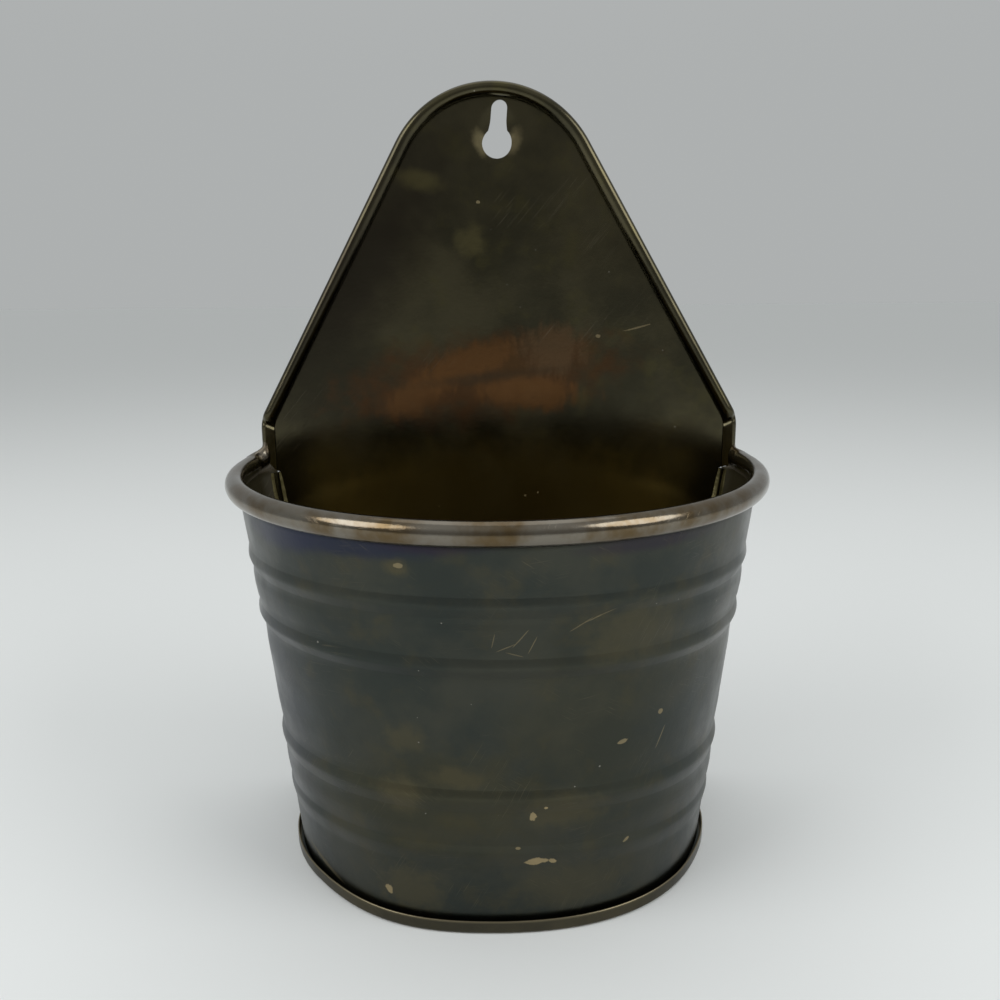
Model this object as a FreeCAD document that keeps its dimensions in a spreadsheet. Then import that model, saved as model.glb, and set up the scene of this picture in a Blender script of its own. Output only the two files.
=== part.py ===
import FreeCAD, Part
import math
import os
import Sketcher

# A sheet-metal wall planter: a ribbed, tapered bucket with a D-shaped plan, closed at the
# back by a flat arched plate that hangs on one keyhole.
# Millimetres. +Z is up, the front looks along -Y, and the flat back lies in one plane.

doc = FreeCAD.newDocument("WallPlanter")
sheet = doc.addObject("Spreadsheet::Sheet", "Sizes")

# (alias, value, what it is)
SIZES = [
    ("sheetThickness", 0.6, "all sheet metal"),
    ("fitGap", 0.05, "between pieces that slide together"),
    # bucket, measured at the centre of the rolled rim
    ("rimHeight", 122.5, "centre of the rolled rim above the floor"),
    ("rimHalfWidth", 85.0, "widest point of the rim from the middle"),
    ("rimDepth", 108.6, "front of the rim from the back plane"),
    ("rimWidest", 18.0, "widest line of the rim from the back plane"),
    ("rimRadius", 3.1, "outside radius of the rolled rim"),
    ("rimCurlAngle", 300.0, "how far the rim is rolled round its wire"),
    ("rimWireSetback", 12.0, "where the rim's wire ends, from the back plane"),
    # bucket, measured at the outside of the wall's foot
    ("footHalfWidth", 67.8, "widest point of the foot from the middle"),
    ("footDepth", 90.9, "front of the foot from the back plane"),
    ("footWidest", 33.3, "widest line of the foot from the back plane, so that its front is flatter"),
    ("frontArcAngle", 45.0, "half of the front arc, in degrees"),
    # ribs pressed outward, two pairs
    ("upperPairDrop", 29.7, "middle of the upper pair below the rim's centre"),
    ("upperPairSpacing", 16.8, "between the two upper ribs"),
    ("lowerPairHeight", 33.4, "middle of the lower pair above the floor"),
    ("lowerPairSpacing", 18.7, "between the two lower ribs"),
    ("ribWidth", 5.6, "height of one rib on the wall"),
    ("upperRibRise", 0.65, "how far the upper pair stands out"),
    ("lowerRibRise", 0.45, "how far the lower pair stands out"),
    # foot seam
    ("footFlange", 1.4, "how far the wall's foot is turned out"),
    ("bandHeight", 3.9, "height of the base's upturned band"),
    # back plate
    ("archRadius", 34.6, "curve of the arch at its bead's centre"),
    ("archRise", 88.2, "centre of that curve above the rim's centre"),
    ("shoulderInset", 3.5, "bead's centre at the shoulder, inward from the rim's centre"),
    ("shoulderRise", 13.9, "where the bead ends, above the rim's centre"),
    ("beadRadius", 2.2, "outside radius of the plate's rolled bead"),
    ("beadCurlAngle", 300.0, "how far the bead is rolled round its wire"),
    ("seamFlange", 4.0, "how deep the plate's side flanges are"),
    ("solderLeg", 1.5, "leg of the solder fillet"),
    # keyhole
    ("slotDrop", 3.3, "top of the slot below the bead's centre"),
    ("slotLength", 13.5, "top of the slot above the centre of the round end"),
    ("slotHalfWidth", 2.6, "half of the slot's width"),
    ("flareLength", 8.0, "where the flare meets the slot, above the centre of the round end"),
    ("holeRadius", 4.9, "radius of the round end"),
    ("holeShoulderAngle", 40.0, "where the round end opens to the slot"),
    ("dimpleHalfWidth", 6.8, "half of the dimple's width"),
    ("dimpleHalfHeight", 5.0, "half of the dimple's height"),
]
for row, (alias, value, meaning) in enumerate(SIZES, start=1):
    sheet.set(f"A{row}", meaning)
    sheet.set(f"B{row}", str(value))
    sheet.setAlias(f"B{row}", alias)
doc.recompute()


def number(expression):
    """The value that an expression has with the sheet's present sizes."""
    value = sheet.evalExpression(expression)
    return float(getattr(value, "Value", value))


def sized(name):
    return f"Sizes.{name}"


def newBody(label):
    """An empty sub-part, moved back so that the origin is under the middle of the whole."""
    body = doc.addObject("PartDesign::Body", label)
    body.Label = label
    body.setExpression("Placement.Base.y", f"({sized('rimDepth')} + {sized('rimRadius')}) / 2")
    return body


def newSketch(body, name, plane, offset="0"):
    """A sketch on one of the body's own planes, moved along the plane's normal."""
    sketch = body.newObject("Sketcher::SketchObject", name)
    support = [feature for feature in body.Origin.OriginFeatures if feature.Role == plane][0]
    sketch.AttachmentSupport = [(support, "")]
    sketch.MapMode = "FlatFace"
    sketch.AttachmentOffset = FreeCAD.Placement(FreeCAD.Vector(0, 0, number(offset)), FreeCAD.Rotation())
    sketch.setExpression("AttachmentOffset.Base.z", offset)
    return sketch


def addPad(body, name, sketch, length):
    pad = body.newObject("PartDesign::Pad", name)
    pad.Profile = sketch
    pad.Length = number(length)
    pad.setExpression("Length", length)
    return pad


def addPipe(body, name, profile, path):
    pipe = body.newObject("PartDesign::AdditivePipe", name)
    pipe.Profile = profile
    pipe.Spine = path
    return pipe


def mirrorAcross(body, name, features):
    """The same features on the other side of the middle."""
    mirrored = body.newObject("PartDesign::Mirrored", name)
    mirrored.Originals = features
    middle = [plane for plane in body.Origin.OriginFeatures if plane.Role == "YZ_Plane"][0]
    mirrored.MirrorPlane = (middle, [""])
    body.Tip = mirrored


def bind(sketch, kind, places, expression):
    """A dimension whose value is always the expression's."""
    index = sketch.addConstraint(Sketcher.Constraint(kind, *places, number(expression)))
    sketch.setExpression(f"Constraints[{index}]", expression)


def pin(sketch, shape, end, x, y):
    """Puts one end of a line or arc at a place, whichever side of the axes it is on."""
    for kind, axis, value in (("DistanceX", "x", x), ("DistanceY", "y", y)):
        bind(sketch, kind, (-1, 1, shape, end), value)


def addLoop(sketch, corners):
    """A closed outline of straight lines through corners given as (x, y) expressions."""
    points = [FreeCAD.Vector(number(x), number(y), 0) for x, y in corners]
    first = sketch.GeometryCount
    count = len(points)
    for index in range(count):
        sketch.addGeometry(Part.LineSegment(points[index], points[(index + 1) % count]))
    for index in range(count):
        sketch.addConstraint(
            Sketcher.Constraint("Coincident", first + index, 2, first + (index + 1) % count, 1))
        pin(sketch, first + index, 1, *corners[index])


# The plan of the bucket at any height is one front arc, two side arcs and two straight
# sides that run back to the plate. Each meets the next without a corner, and the angles
# are the same at every height, so that the wall is smooth from foot to rim.

def planValue(foot, rim, level):
    return f"({sized(foot)} + ({sized(rim)} - {sized(foot)}) * ({level}))"


def planExpressions(level):
    """Half-width, front and side radii, and the two centres' distances from the back."""
    halfWidth = planValue("footHalfWidth", "rimHalfWidth", level)
    depth = planValue("footDepth", "rimDepth", level)
    widest = planValue("footWidest", "rimWidest", level)
    sine = f"sin({sized('frontArcAngle')})"
    cosine = f"cos({sized('frontArcAngle')})"
    difference = f"(({widest} + {halfWidth} - {depth}) / ({sine} + {cosine} - 1))"
    front = f"({halfWidth} + {difference} * (1 - {sine}))"
    side = f"({halfWidth} - {difference} * {sine})"
    return halfWidth, front, side, f"({depth} - {front})", widest


def addPlan(sketch, level, out, setback="0"):
    """The plan at a level (0 at the floor, 1 at the rim's centre), moved outward by out.

    Its two ends lie at a distance in front of the back plane.
    """
    halfWidth, front, side, frontCentre, widest = planExpressions(level)
    angle = sized("frontArcAngle")
    frontRadius = number(f"{front} + {out}")
    sideRadius = number(f"{side} + {out}")
    middle = FreeCAD.Vector(0, -number(frontCentre), 0)
    sideX = number(f"{halfWidth} - {side}")
    wide = number(f"{halfWidth} + {out}")
    back = -number(widest)
    turn = math.radians(number(angle))
    first = sketch.GeometryCount
    up = FreeCAD.Vector(0, 0, 1)

    def arc(centre, radius, start, end):
        sketch.addGeometry(Part.ArcOfCircle(Part.Circle(centre, up, radius), start, end))

    end = -number(setback)
    sketch.addGeometry(Part.LineSegment(FreeCAD.Vector(-wide, end, 0), FreeCAD.Vector(-wide, back, 0)))
    arc(FreeCAD.Vector(-sideX, back, 0), sideRadius, math.pi, 1.5 * math.pi - turn)
    arc(middle, frontRadius, 1.5 * math.pi - turn, 1.5 * math.pi + turn)
    arc(FreeCAD.Vector(sideX, back, 0), sideRadius, 1.5 * math.pi + turn, 2 * math.pi)
    sketch.addGeometry(Part.LineSegment(FreeCAD.Vector(wide, back, 0), FreeCAD.Vector(wide, end, 0)))
    leftLine, leftArc, frontArc, rightArc, rightLine = range(first, first + 5)
    for before, after in ((leftLine, leftArc), (leftArc, frontArc), (frontArc, rightArc), (rightArc, rightLine)):
        sketch.addConstraint(Sketcher.Constraint("Tangent", before, 2, after, 1))
    sketch.addConstraint(Sketcher.Constraint("PointOnObject", frontArc, 3, -2))
    bind(sketch, "DistanceY", (frontArc, 3, -1, 1), frontCentre)
    bind(sketch, "Radius", (frontArc,), f"{front} + {out}")
    reach = f"({front} + {out}) * sin({angle})"
    bind(sketch, "DistanceX", (frontArc, 1, frontArc, 3), reach)
    bind(sketch, "DistanceX", (frontArc, 3, frontArc, 2), reach)
    for sideArc, line in ((leftArc, leftLine), (rightArc, rightLine)):
        bind(sketch, "Radius", (sideArc,), f"{side} + {out}")
        sketch.addConstraint(Sketcher.Constraint("Vertical", line))
    bind(sketch, "DistanceY", (leftLine, 1, -1, 1), setback)
    bind(sketch, "DistanceY", (rightLine, 2, -1, 1), setback)
    return leftLine, rightLine


def joinEnds(sketch, start, startEnd, finish, finishEnd):
    """A straight line between two ends."""
    line = sketch.addGeometry(
        Part.LineSegment(sketch.getPoint(start, startEnd), sketch.getPoint(finish, finishEnd)))
    sketch.addConstraint(Sketcher.Constraint("Coincident", line, 1, start, startEnd))
    sketch.addConstraint(Sketcher.Constraint("Coincident", line, 2, finish, finishEnd))


def addStrip(sketch, level, outer, inner):
    """The plan as a strip of metal between two offsets, open at the back."""
    outerLeft, outerRight = addPlan(sketch, level, outer)
    innerLeft, innerRight = addPlan(sketch, level, inner)
    joinEnds(sketch, outerLeft, 1, innerLeft, 1)
    joinEnds(sketch, outerRight, 2, innerRight, 2)


def addCurl(sketch, x, y, outside, sweep):
    """The section of a sheet rolled round a wire, from its right side anticlockwise."""
    centre = FreeCAD.Vector(number(x), number(y), 0)
    up = FreeCAD.Vector(0, 0, 1)
    inside = f"({outside} - {sized('sheetThickness')})"
    outerArc, innerArc = sketch.GeometryCount, sketch.GeometryCount + 1
    for radius in (outside, inside):
        circle = Part.Circle(centre, up, number(radius))
        sketch.addGeometry(Part.ArcOfCircle(circle, 0, math.radians(number(sweep))))
    pin(sketch, outerArc, 3, x, y)
    sketch.addConstraint(Sketcher.Constraint("Coincident", outerArc, 3, innerArc, 3))
    for arc, radius in ((outerArc, outside), (innerArc, inside)):
        bind(sketch, "Radius", (arc,), radius)
        sketch.addConstraint(Sketcher.Constraint("Horizontal", arc, 3, arc, 1))
        bind(sketch, "DistanceX", (arc, 3, arc, 2), f"{radius} * cos({sweep})")
    for end in (1, 2):
        joinEnds(sketch, outerArc, end, innerArc, end)


def addDisc(sketch, x, y, radius):
    """A round section."""
    circle = Part.Circle(FreeCAD.Vector(number(x), number(y), 0), FreeCAD.Vector(0, 0, 1), number(radius))
    disc = sketch.addGeometry(circle)
    pin(sketch, disc, 3, x, y)
    bind(sketch, "Radius", (disc,), radius)


# Sizes that follow from others.
SHEET = sized("sheetThickness")
GAP = sized("fitGap")
RIM_TOP = sized("rimHeight")
RIM_RADIUS = sized("rimRadius")
BEAD_RADIUS = sized("beadRadius")
CURL_INSET = f"({RIM_RADIUS} - {SHEET})"
BAND_OUTSIDE = f"({sized('footFlange')} + {GAP} + {SHEET})"
BEAD_CENTRE = f"(0 - {BEAD_RADIUS})"
PLATE_TOP_HALF = f"({sized('rimHalfWidth')} - {RIM_RADIUS} - {GAP})"
PLATE_FOOT_HALF = f"({sized('footHalfWidth')} - {SHEET} - {GAP})"
ARCH_CENTRE = f"({RIM_TOP} + {sized('archRise')})"
BEAD_TOP = f"({ARCH_CENTRE} + {sized('archRadius')})"
SHOULDER_HALF = f"({sized('rimHalfWidth')} - {sized('shoulderInset')})"
SHOULDER_HEIGHT = f"({RIM_TOP} + {sized('shoulderRise')})"
HEM_FOOT = f"({RIM_TOP} + {RIM_RADIUS} + {GAP})"
HEM_HALF = f"({SHOULDER_HALF} + {BEAD_RADIUS})"
SLOT_TOP = f"({BEAD_TOP} - {sized('slotDrop')})"
HOLE_HEIGHT = f"({SLOT_TOP} - {sized('slotLength')})"
UPPER_PAIR = f"({RIM_TOP} - {sized('upperPairDrop')})"
LOWER_PAIR = sized("lowerPairHeight")
# (name, middle of its pair, spacing of the pair, which side of the middle, how far it stands out)
RIBS = (
    ("LowRib", LOWER_PAIR, "lowerPairSpacing", -0.5, "lowerRibRise"),
    ("ThirdRib", LOWER_PAIR, "lowerPairSpacing", 0.5, "lowerRibRise"),
    ("SecondRib", UPPER_PAIR, "upperPairSpacing", -0.5, "upperRibRise"),
    ("TopRib", UPPER_PAIR, "upperPairSpacing", 0.5, "upperRibRise"),
)
RIB_SECTIONS = 6


def wallHalf(height):
    """The outside of the wall from the middle, at a height."""
    level = f"(({height}) / {RIM_TOP})"
    width = planValue("footHalfWidth", "rimHalfWidth", level)
    return f"({width} - {CURL_INSET} * {level})"


def buildBucketShell():
    """The wall with its ribs, the rolled rim and the turned-out foot, one sheet."""
    body = newBody("bucket_shell")

    def section(name, height, rise):
        level = f"(({height}) / {RIM_TOP})"
        outside = f"({rise} - {CURL_INSET} * {level})"
        sketch = newSketch(body, name, "XY_Plane", height)
        addStrip(sketch, level, outside, f"({outside} - {SHEET})")
        return sketch

    sections = [section("WallFoot", SHEET, "0")]
    for name, middle, spacing, side, riseName in RIBS:
        for step in range(RIB_SECTIONS + 1):
            share = step / RIB_SECTIONS
            centre = f"{middle} + {sized(spacing)} * {side}"
            height = f"({centre} + {sized('ribWidth')} * {share - 0.5:.6f})"
            rise = f"{sized(riseName)} * (1 - cos({360 * share:.6f})) / 2"
            sections.append(section(f"{name}{step}", height, rise))
    sections.append(section("WallTop", RIM_TOP, "0"))
    wall = body.newObject("PartDesign::AdditiveLoft", "Wall")
    wall.Profile = sections[0]
    wall.Sections = [(sketch, [""]) for sketch in sections[1:]]
    wall.Ruled = True

    foot = newSketch(body, "FootFlangePlan", "XY_Plane", SHEET)
    addStrip(foot, "0", sized("footFlange"), f"(0 - {SHEET} / 2)")
    addPad(body, "FootFlange", foot, SHEET)

    path = newSketch(body, "RimPath", "XY_Plane", RIM_TOP)
    addPlan(path, "1", "0")
    curl = newSketch(body, "RimSection", "XZ_Plane")
    addCurl(curl, f"0 - {sized('rimHalfWidth')}", RIM_TOP, RIM_RADIUS, sized("rimCurlAngle"))
    addPipe(body, "RimCurl", curl, path)
    return body


def buildRimWire():
    """The wire that the rim is rolled round."""
    body = newBody("rim_wire")
    setback = sized("rimWireSetback")
    path = newSketch(body, "WirePath", "XY_Plane", RIM_TOP)
    addPlan(path, "1", "0", setback)
    section = newSketch(body, "WireSection", "XZ_Plane", setback)
    addDisc(section, f"0 - {sized('rimHalfWidth')}", RIM_TOP, f"{CURL_INSET} - {GAP}")
    addPipe(body, "Wire", section, path)
    return body


def addArch(sketch):
    """Right half of the bead's centre line: the arch and the straight run to the shoulder."""
    radius = sized("archRadius")
    top = ARCH_CENTRE
    x = SHOULDER_HALF
    z = SHOULDER_HEIGHT
    slope = number(f"atan(({z} - {top}) / {x}) + acos({radius} / sqrt({x}^2 + ({z} - {top})^2))")
    centre = FreeCAD.Vector(0, number(top), 0)
    circle = Part.Circle(centre, FreeCAD.Vector(0, 0, 1), number(radius))
    arch = sketch.addGeometry(Part.ArcOfCircle(circle, math.radians(slope), math.pi / 2))
    shoulder = FreeCAD.Vector(number(x), number(z), 0)
    run = sketch.addGeometry(Part.LineSegment(shoulder, sketch.getPoint(arch, 1)))
    sketch.addConstraint(Sketcher.Constraint("Tangent", run, 2, arch, 1))
    sketch.addConstraint(Sketcher.Constraint("PointOnObject", arch, 3, -2))
    sketch.addConstraint(Sketcher.Constraint("PointOnObject", arch, 2, -2))
    bind(sketch, "DistanceY", (-1, 1, arch, 3), top)
    bind(sketch, "Radius", (arch,), radius)
    pin(sketch, run, 1, x, z)
    return arch, run


def addChain(sketch, start, startEnd, corners, finish, finishEnd):
    """Straight lines from one end through corners to another end."""
    points = [sketch.getPoint(start, startEnd)]
    points += [FreeCAD.Vector(number(x), number(y), 0) for x, y in corners]
    points.append(sketch.getPoint(finish, finishEnd))
    previous, previousEnd = start, startEnd
    for index, (begin, end) in enumerate(zip(points, points[1:])):
        line = sketch.addGeometry(Part.LineSegment(begin, end))
        sketch.addConstraint(Sketcher.Constraint("Coincident", line, 1, previous, previousEnd))
        if index < len(corners):
            pin(sketch, line, 2, *corners[index])
        previous, previousEnd = line, 2
    sketch.addConstraint(Sketcher.Constraint("Coincident", previous, previousEnd, finish, finishEnd))


def addKeyhole(sketch):
    """A round end that flares into a slot with a round top."""
    radius = sized("holeRadius")
    middle = HOLE_HEIGHT
    half = sized("slotHalfWidth")
    mouth = sized("holeShoulderAngle")
    up = FreeCAD.Vector(0, 0, 1)
    turn = math.radians(number(mouth))
    hole = sketch.addGeometry(Part.ArcOfCircle(
        Part.Circle(FreeCAD.Vector(0, number(middle), 0), up, number(radius)),
        math.pi / 2 + turn, 2.5 * math.pi - turn))
    slotCentre = f"({SLOT_TOP} - {half})"
    cap = sketch.addGeometry(Part.ArcOfCircle(
        Part.Circle(FreeCAD.Vector(0, number(slotCentre), 0), up, number(half)), 0, math.pi))
    pin(sketch, hole, 3, "0", middle)
    bind(sketch, "Radius", (hole,), radius)
    bind(sketch, "DistanceX", (hole, 1, hole, 3), f"{radius} * sin({mouth})")
    bind(sketch, "DistanceX", (hole, 3, hole, 2), f"{radius} * sin({mouth})")
    pin(sketch, cap, 3, "0", slotCentre)
    bind(sketch, "Radius", (cap,), half)
    for end in (1, 2):
        sketch.addConstraint(Sketcher.Constraint("Horizontal", cap, 3, cap, end))
    flare = f"({HOLE_HEIGHT} + {sized('flareLength')})"
    addChain(sketch, hole, 2, [(half, flare)], cap, 1)
    addChain(sketch, hole, 1, [(f"0 - {half}", flare)], cap, 2)


def addDimple(body, name, kind, depth, centreDepth, inset):
    """A flat ellipsoid whose top is level with the slot's and whose middle lies at a depth."""
    dimple = body.newObject(kind, name)
    dimple.setExpression("Radius1", f"{sized('dimpleHalfHeight')} - {inset}")
    dimple.setExpression("Radius2", f"{sized('dimpleHalfWidth')} - {inset}")
    dimple.setExpression("Radius3", depth)
    support = [plane for plane in body.Origin.OriginFeatures if plane.Role == "XY_Plane"][0]
    dimple.AttachmentSupport = [(support, "")]
    dimple.MapMode = "FlatFace"
    dimple.setExpression("AttachmentOffset.Base.y", f"0 - {centreDepth}")
    dimple.setExpression("AttachmentOffset.Base.z", f"{SLOT_TOP} - {sized('dimpleHalfHeight')}")
    return dimple


def mirrorCorners(corners):
    """The same corners on the left, in reverse order."""
    return [(f"0 - {x}", y) for x, y in reversed(corners)]


def buildBackPlate():
    """The arched plate, its rolled bead, crimped hems and side flanges, one sheet."""
    body = newBody("back_plate")

    plate = newSketch(body, "PlateOutline", "XZ_Plane")
    arch, run = addArch(plate)
    corners = [
        (HEM_HALF, SHOULDER_HEIGHT),
        (HEM_HALF, HEM_FOOT),
        (PLATE_TOP_HALF, HEM_FOOT),
        (PLATE_TOP_HALF, RIM_TOP),
        (PLATE_FOOT_HALF, SHEET),
        ("0", SHEET),
    ]
    addChain(plate, run, 1, corners, arch, 2)
    addPad(body, "PlateHalf", plate, SHEET)

    hem = newSketch(body, "HemOutline", "XZ_Plane", SHEET)
    hemInside = f"({SHOULDER_HALF} - {BEAD_RADIUS})"
    hemTop = f"({SHOULDER_HEIGHT} - {BEAD_RADIUS})"
    addLoop(hem, [(hemInside, HEM_FOOT), (HEM_HALF, HEM_FOOT), (HEM_HALF, hemTop), (hemInside, hemTop)])
    addPad(body, "Hem", hem, SHEET)

    flange = newSketch(body, "FlangeOutline", "XZ_Plane")
    addLoop(flange, [
        (f"({PLATE_FOOT_HALF} - {SHEET})", SHEET),
        (PLATE_FOOT_HALF, SHEET),
        (PLATE_TOP_HALF, RIM_TOP),
        (f"({PLATE_TOP_HALF} - {SHEET})", RIM_TOP),
    ])
    addPad(body, "SideFlange", flange, sized("seamFlange"))

    path = newSketch(body, "BeadPath", "XZ_Plane", BEAD_RADIUS)
    addArch(path)
    curl = newSketch(body, "BeadSection", "YZ_Plane")
    addCurl(curl, BEAD_CENTRE, BEAD_TOP, BEAD_RADIUS, sized("beadCurlAngle"))
    addPipe(body, "BeadCurl", curl, path)

    halves = [feature for feature in body.Group
              if feature.isDerivedFrom("PartDesign::FeatureAddSub")]
    mirrorAcross(body, "LeftHalf", halves)

    addDimple(body, "Dimple", "PartDesign::AdditiveEllipsoid", SHEET, SHEET, "0")
    addDimple(body, "DimpleHollow", "PartDesign::SubtractiveEllipsoid", SHEET, "0", SHEET)
    keyhole = newSketch(body, "Keyhole", "XZ_Plane")
    addKeyhole(keyhole)
    pocket = body.newObject("PartDesign::Pocket", "KeyholeCut")
    pocket.Profile = keyhole
    pocket.Type = "ThroughAll"
    pocket.Midplane = True
    return body


def buildArchWire():
    """The wire that the plate's bead is rolled round."""
    body = newBody("arch_wire")
    path = newSketch(body, "WirePath", "XZ_Plane", BEAD_RADIUS)
    addArch(path)
    section = newSketch(body, "WireSection", "YZ_Plane")
    addDisc(section, BEAD_CENTRE, BEAD_TOP, f"{BEAD_RADIUS} - {SHEET} - {GAP}")
    half = addPipe(body, "RightHalf", section, path)
    mirrorAcross(body, "LeftHalf", [half])
    return body


def buildBaseCap():
    """The bottom, its band turned up round the foot and its lip inside the plate."""
    body = newBody("base_cap")
    disc = newSketch(body, "BottomOutline", "XY_Plane")
    left, right = addPlan(disc, "0", BAND_OUTSIDE)
    joinEnds(disc, right, 2, left, 1)
    addPad(body, "Bottom", disc, SHEET)
    band = newSketch(body, "BandPlan", "XY_Plane")
    addStrip(band, "0", BAND_OUTSIDE, f"({BAND_OUTSIDE} - {SHEET})")
    addPad(body, "Band", band, sized("bandHeight"))
    lip = newSketch(body, "LipPlan", "XY_Plane")
    lipHalf = f"({PLATE_FOOT_HALF} - {SHEET} - {sized('solderLeg')})"
    lipFront = f"(0 - 2 * {SHEET} - {GAP})"
    lipBack = f"(0 - {SHEET} - {GAP})"
    corners = [(lipHalf, lipFront), (lipHalf, lipBack)]
    addLoop(lip, corners + mirrorCorners(corners))
    addPad(body, "BackLip", lip, sized("bandHeight"))
    return body


def buildSolder(label, side):
    """A solder fillet in the corner of a flange's edge and the wall."""
    body = newBody(label)
    flangeEdge = f"(0 - {sized('seamFlange')})"
    leg = sized("solderLeg")
    foot = f"(2 * {SHEET})"
    sections = []
    for name, height in (("Foot", foot), ("Top", RIM_TOP)):
        sketch = newSketch(body, name, "XY_Plane", height)
        wall = f"({wallHalf(height)} - {SHEET} - {GAP})"
        addLoop(sketch, [
            (f"({side} * {wall})", flangeEdge),
            (f"({side} * {wall})", f"({flangeEdge} - {leg})"),
            (f"({side} * ({wall} - {leg}))", flangeEdge),
        ])
        sections.append(sketch)
    fillet = body.newObject("PartDesign::AdditiveLoft", "Fillet")
    fillet.Profile = sections[0]
    fillet.Sections = [(sections[1], [""])]
    fillet.Ruled = True
    return body


bodies = [
    buildBucketShell(),
    buildRimWire(),
    buildBackPlate(),
    buildArchWire(),
    buildBaseCap(),
    buildSolder("left_seam_solder", -1),
    buildSolder("right_seam_solder", 1),
]
doc.recompute()

for item in doc.Objects:
    if {"Invalid", "Error"} & set(item.State):
        raise RuntimeError(f"{item.Name} did not build: {item.State} {item.getStatusString()}")
os.makedirs("parts", exist_ok=True)
for body in bodies:
    shape = body.Shape
    if shape.isNull() or not shape.isValid() or len(shape.Solids) != 1:
        raise RuntimeError(f"{body.Label} is not one valid solid")
for body in bodies:
    body.Shape.exportStep(f"parts/{body.Label}.step")
    box = body.Shape.BoundBox
    print(f"{body.Label}: {body.Shape.Volume:.1f} mm3, {box.XLength:.2f} x {box.YLength:.2f} x {box.ZLength:.2f}")
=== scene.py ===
import math

import bmesh
import bpy
from mathutils import Matrix, Vector, noise
from mathutils.geometry import delaunay_2d_cdt


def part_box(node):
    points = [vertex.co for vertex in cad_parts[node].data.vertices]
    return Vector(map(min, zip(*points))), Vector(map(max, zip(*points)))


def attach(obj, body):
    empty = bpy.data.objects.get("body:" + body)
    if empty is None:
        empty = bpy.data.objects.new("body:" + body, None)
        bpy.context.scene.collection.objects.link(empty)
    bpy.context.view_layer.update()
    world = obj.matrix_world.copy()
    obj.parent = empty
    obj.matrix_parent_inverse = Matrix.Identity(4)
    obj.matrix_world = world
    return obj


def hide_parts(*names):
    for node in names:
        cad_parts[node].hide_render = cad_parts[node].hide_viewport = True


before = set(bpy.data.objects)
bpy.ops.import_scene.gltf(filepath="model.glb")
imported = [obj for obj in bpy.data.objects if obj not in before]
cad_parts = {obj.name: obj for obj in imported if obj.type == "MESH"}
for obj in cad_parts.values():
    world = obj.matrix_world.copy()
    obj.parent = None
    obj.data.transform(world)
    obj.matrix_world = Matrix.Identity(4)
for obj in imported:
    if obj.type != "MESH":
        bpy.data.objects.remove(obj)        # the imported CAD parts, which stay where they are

# A bronze wall planter. Every piece is shaped in millimetres and made metres at the end.
scene = bpy.context.scene
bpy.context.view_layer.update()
millimetre = 0.001
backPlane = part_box("back_plate")[1].y / millimetre
sheetThickness = 0.6
print("frame loaded, back plane at", round(backPlane, 3))


# node helpers, for shader trees and geometry trees alike

class Flow:
    # a value in a node tree; arithmetic on it adds Math nodes
    def __init__(self, tree, socket):
        self.tree = tree
        self.socket = socket

    def calc(self, operation, *others):
        return calc(self.tree, operation, self, *others)

    def __add__(self, other):
        return self.calc("ADD", other)

    def __radd__(self, other):
        return self.calc("ADD", other)

    def __sub__(self, other):
        return self.calc("SUBTRACT", other)

    def __rsub__(self, other):
        return calc(self.tree, "SUBTRACT", other, self)

    def __mul__(self, other):
        return self.calc("MULTIPLY", other)

    def __rmul__(self, other):
        return self.calc("MULTIPLY", other)

    def __truediv__(self, other):
        return self.calc("DIVIDE", other)

    def __rtruediv__(self, other):
        return calc(self.tree, "DIVIDE", other, self)

    def ease(self, low, high, start=0.0, end=1.0):
        # start below low, end above high, smooth between them
        node = addNode(self.tree, "ShaderNodeMapRange", {"interpolation_type": "SMOOTHSTEP"}, {
            "Value": self, "From Min": low, "From Max": high, "To Min": start, "To Max": end})
        return Flow(self.tree, node.outputs["Result"])

    def between(self, start, end):
        return start + (end - start) * self


def plug(tree, socket, value):
    if isinstance(value, Flow):
        tree.links.new(value.socket, socket)
    else:
        socket.default_value = value


def addNode(tree, kind, settings, inputs):
    node = tree.nodes.new(kind)
    for name, value in settings.items():
        setattr(node, name, value)
    for name, value in inputs.items():
        plug(tree, node.inputs[name], value)
    return node


def calc(tree, operation, *values):
    node = tree.nodes.new("ShaderNodeMath")
    node.operation = operation
    for socket, value in zip(node.inputs, values):
        plug(tree, socket, value)
    return Flow(tree, node.outputs[0])


def combine(tree, x, y, z):
    node = addNode(tree, "ShaderNodeCombineXYZ", {}, {"X": x, "Y": y, "Z": z})
    return Flow(tree, node.outputs[0])


def separate(place):
    node = addNode(place.tree, "ShaderNodeSeparateXYZ", {}, {"Vector": place})
    return [Flow(place.tree, socket) for socket in node.outputs]


def vectorCalc(tree, operation, *values):
    node = tree.nodes.new("ShaderNodeVectorMath")
    node.operation = operation
    for socket, value in zip(node.inputs, values):
        plug(tree, socket, value)
    return Flow(tree, node.outputs[0])


def newGroup(name, kind, inputs, outputs):
    # inputs are (name, socket type, value) and outputs (name, socket type)
    tree = bpy.data.node_groups.new(name, kind)
    for label, socketType, value in inputs:
        socket = tree.interface.new_socket(label, in_out="INPUT", socket_type=socketType)
        if value is not None:
            socket.default_value = value
    for label, socketType in outputs:
        tree.interface.new_socket(label, in_out="OUTPUT", socket_type=socketType)
    entry = tree.nodes.new("NodeGroupInput")
    given = {label: Flow(tree, entry.outputs[label]) for label, socketType, value in inputs}
    return tree, given, tree.nodes.new("NodeGroupOutput")


def useGroup(tree, group, values, output):
    kind = "GeometryNodeGroup" if tree.bl_idname == "GeometryNodeTree" else "ShaderNodeGroup"
    node = tree.nodes.new(kind)
    node.node_tree = group
    for name, value in values.items():
        plug(tree, node.inputs[name], value)
    return Flow(tree, node.outputs[output])


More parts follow.
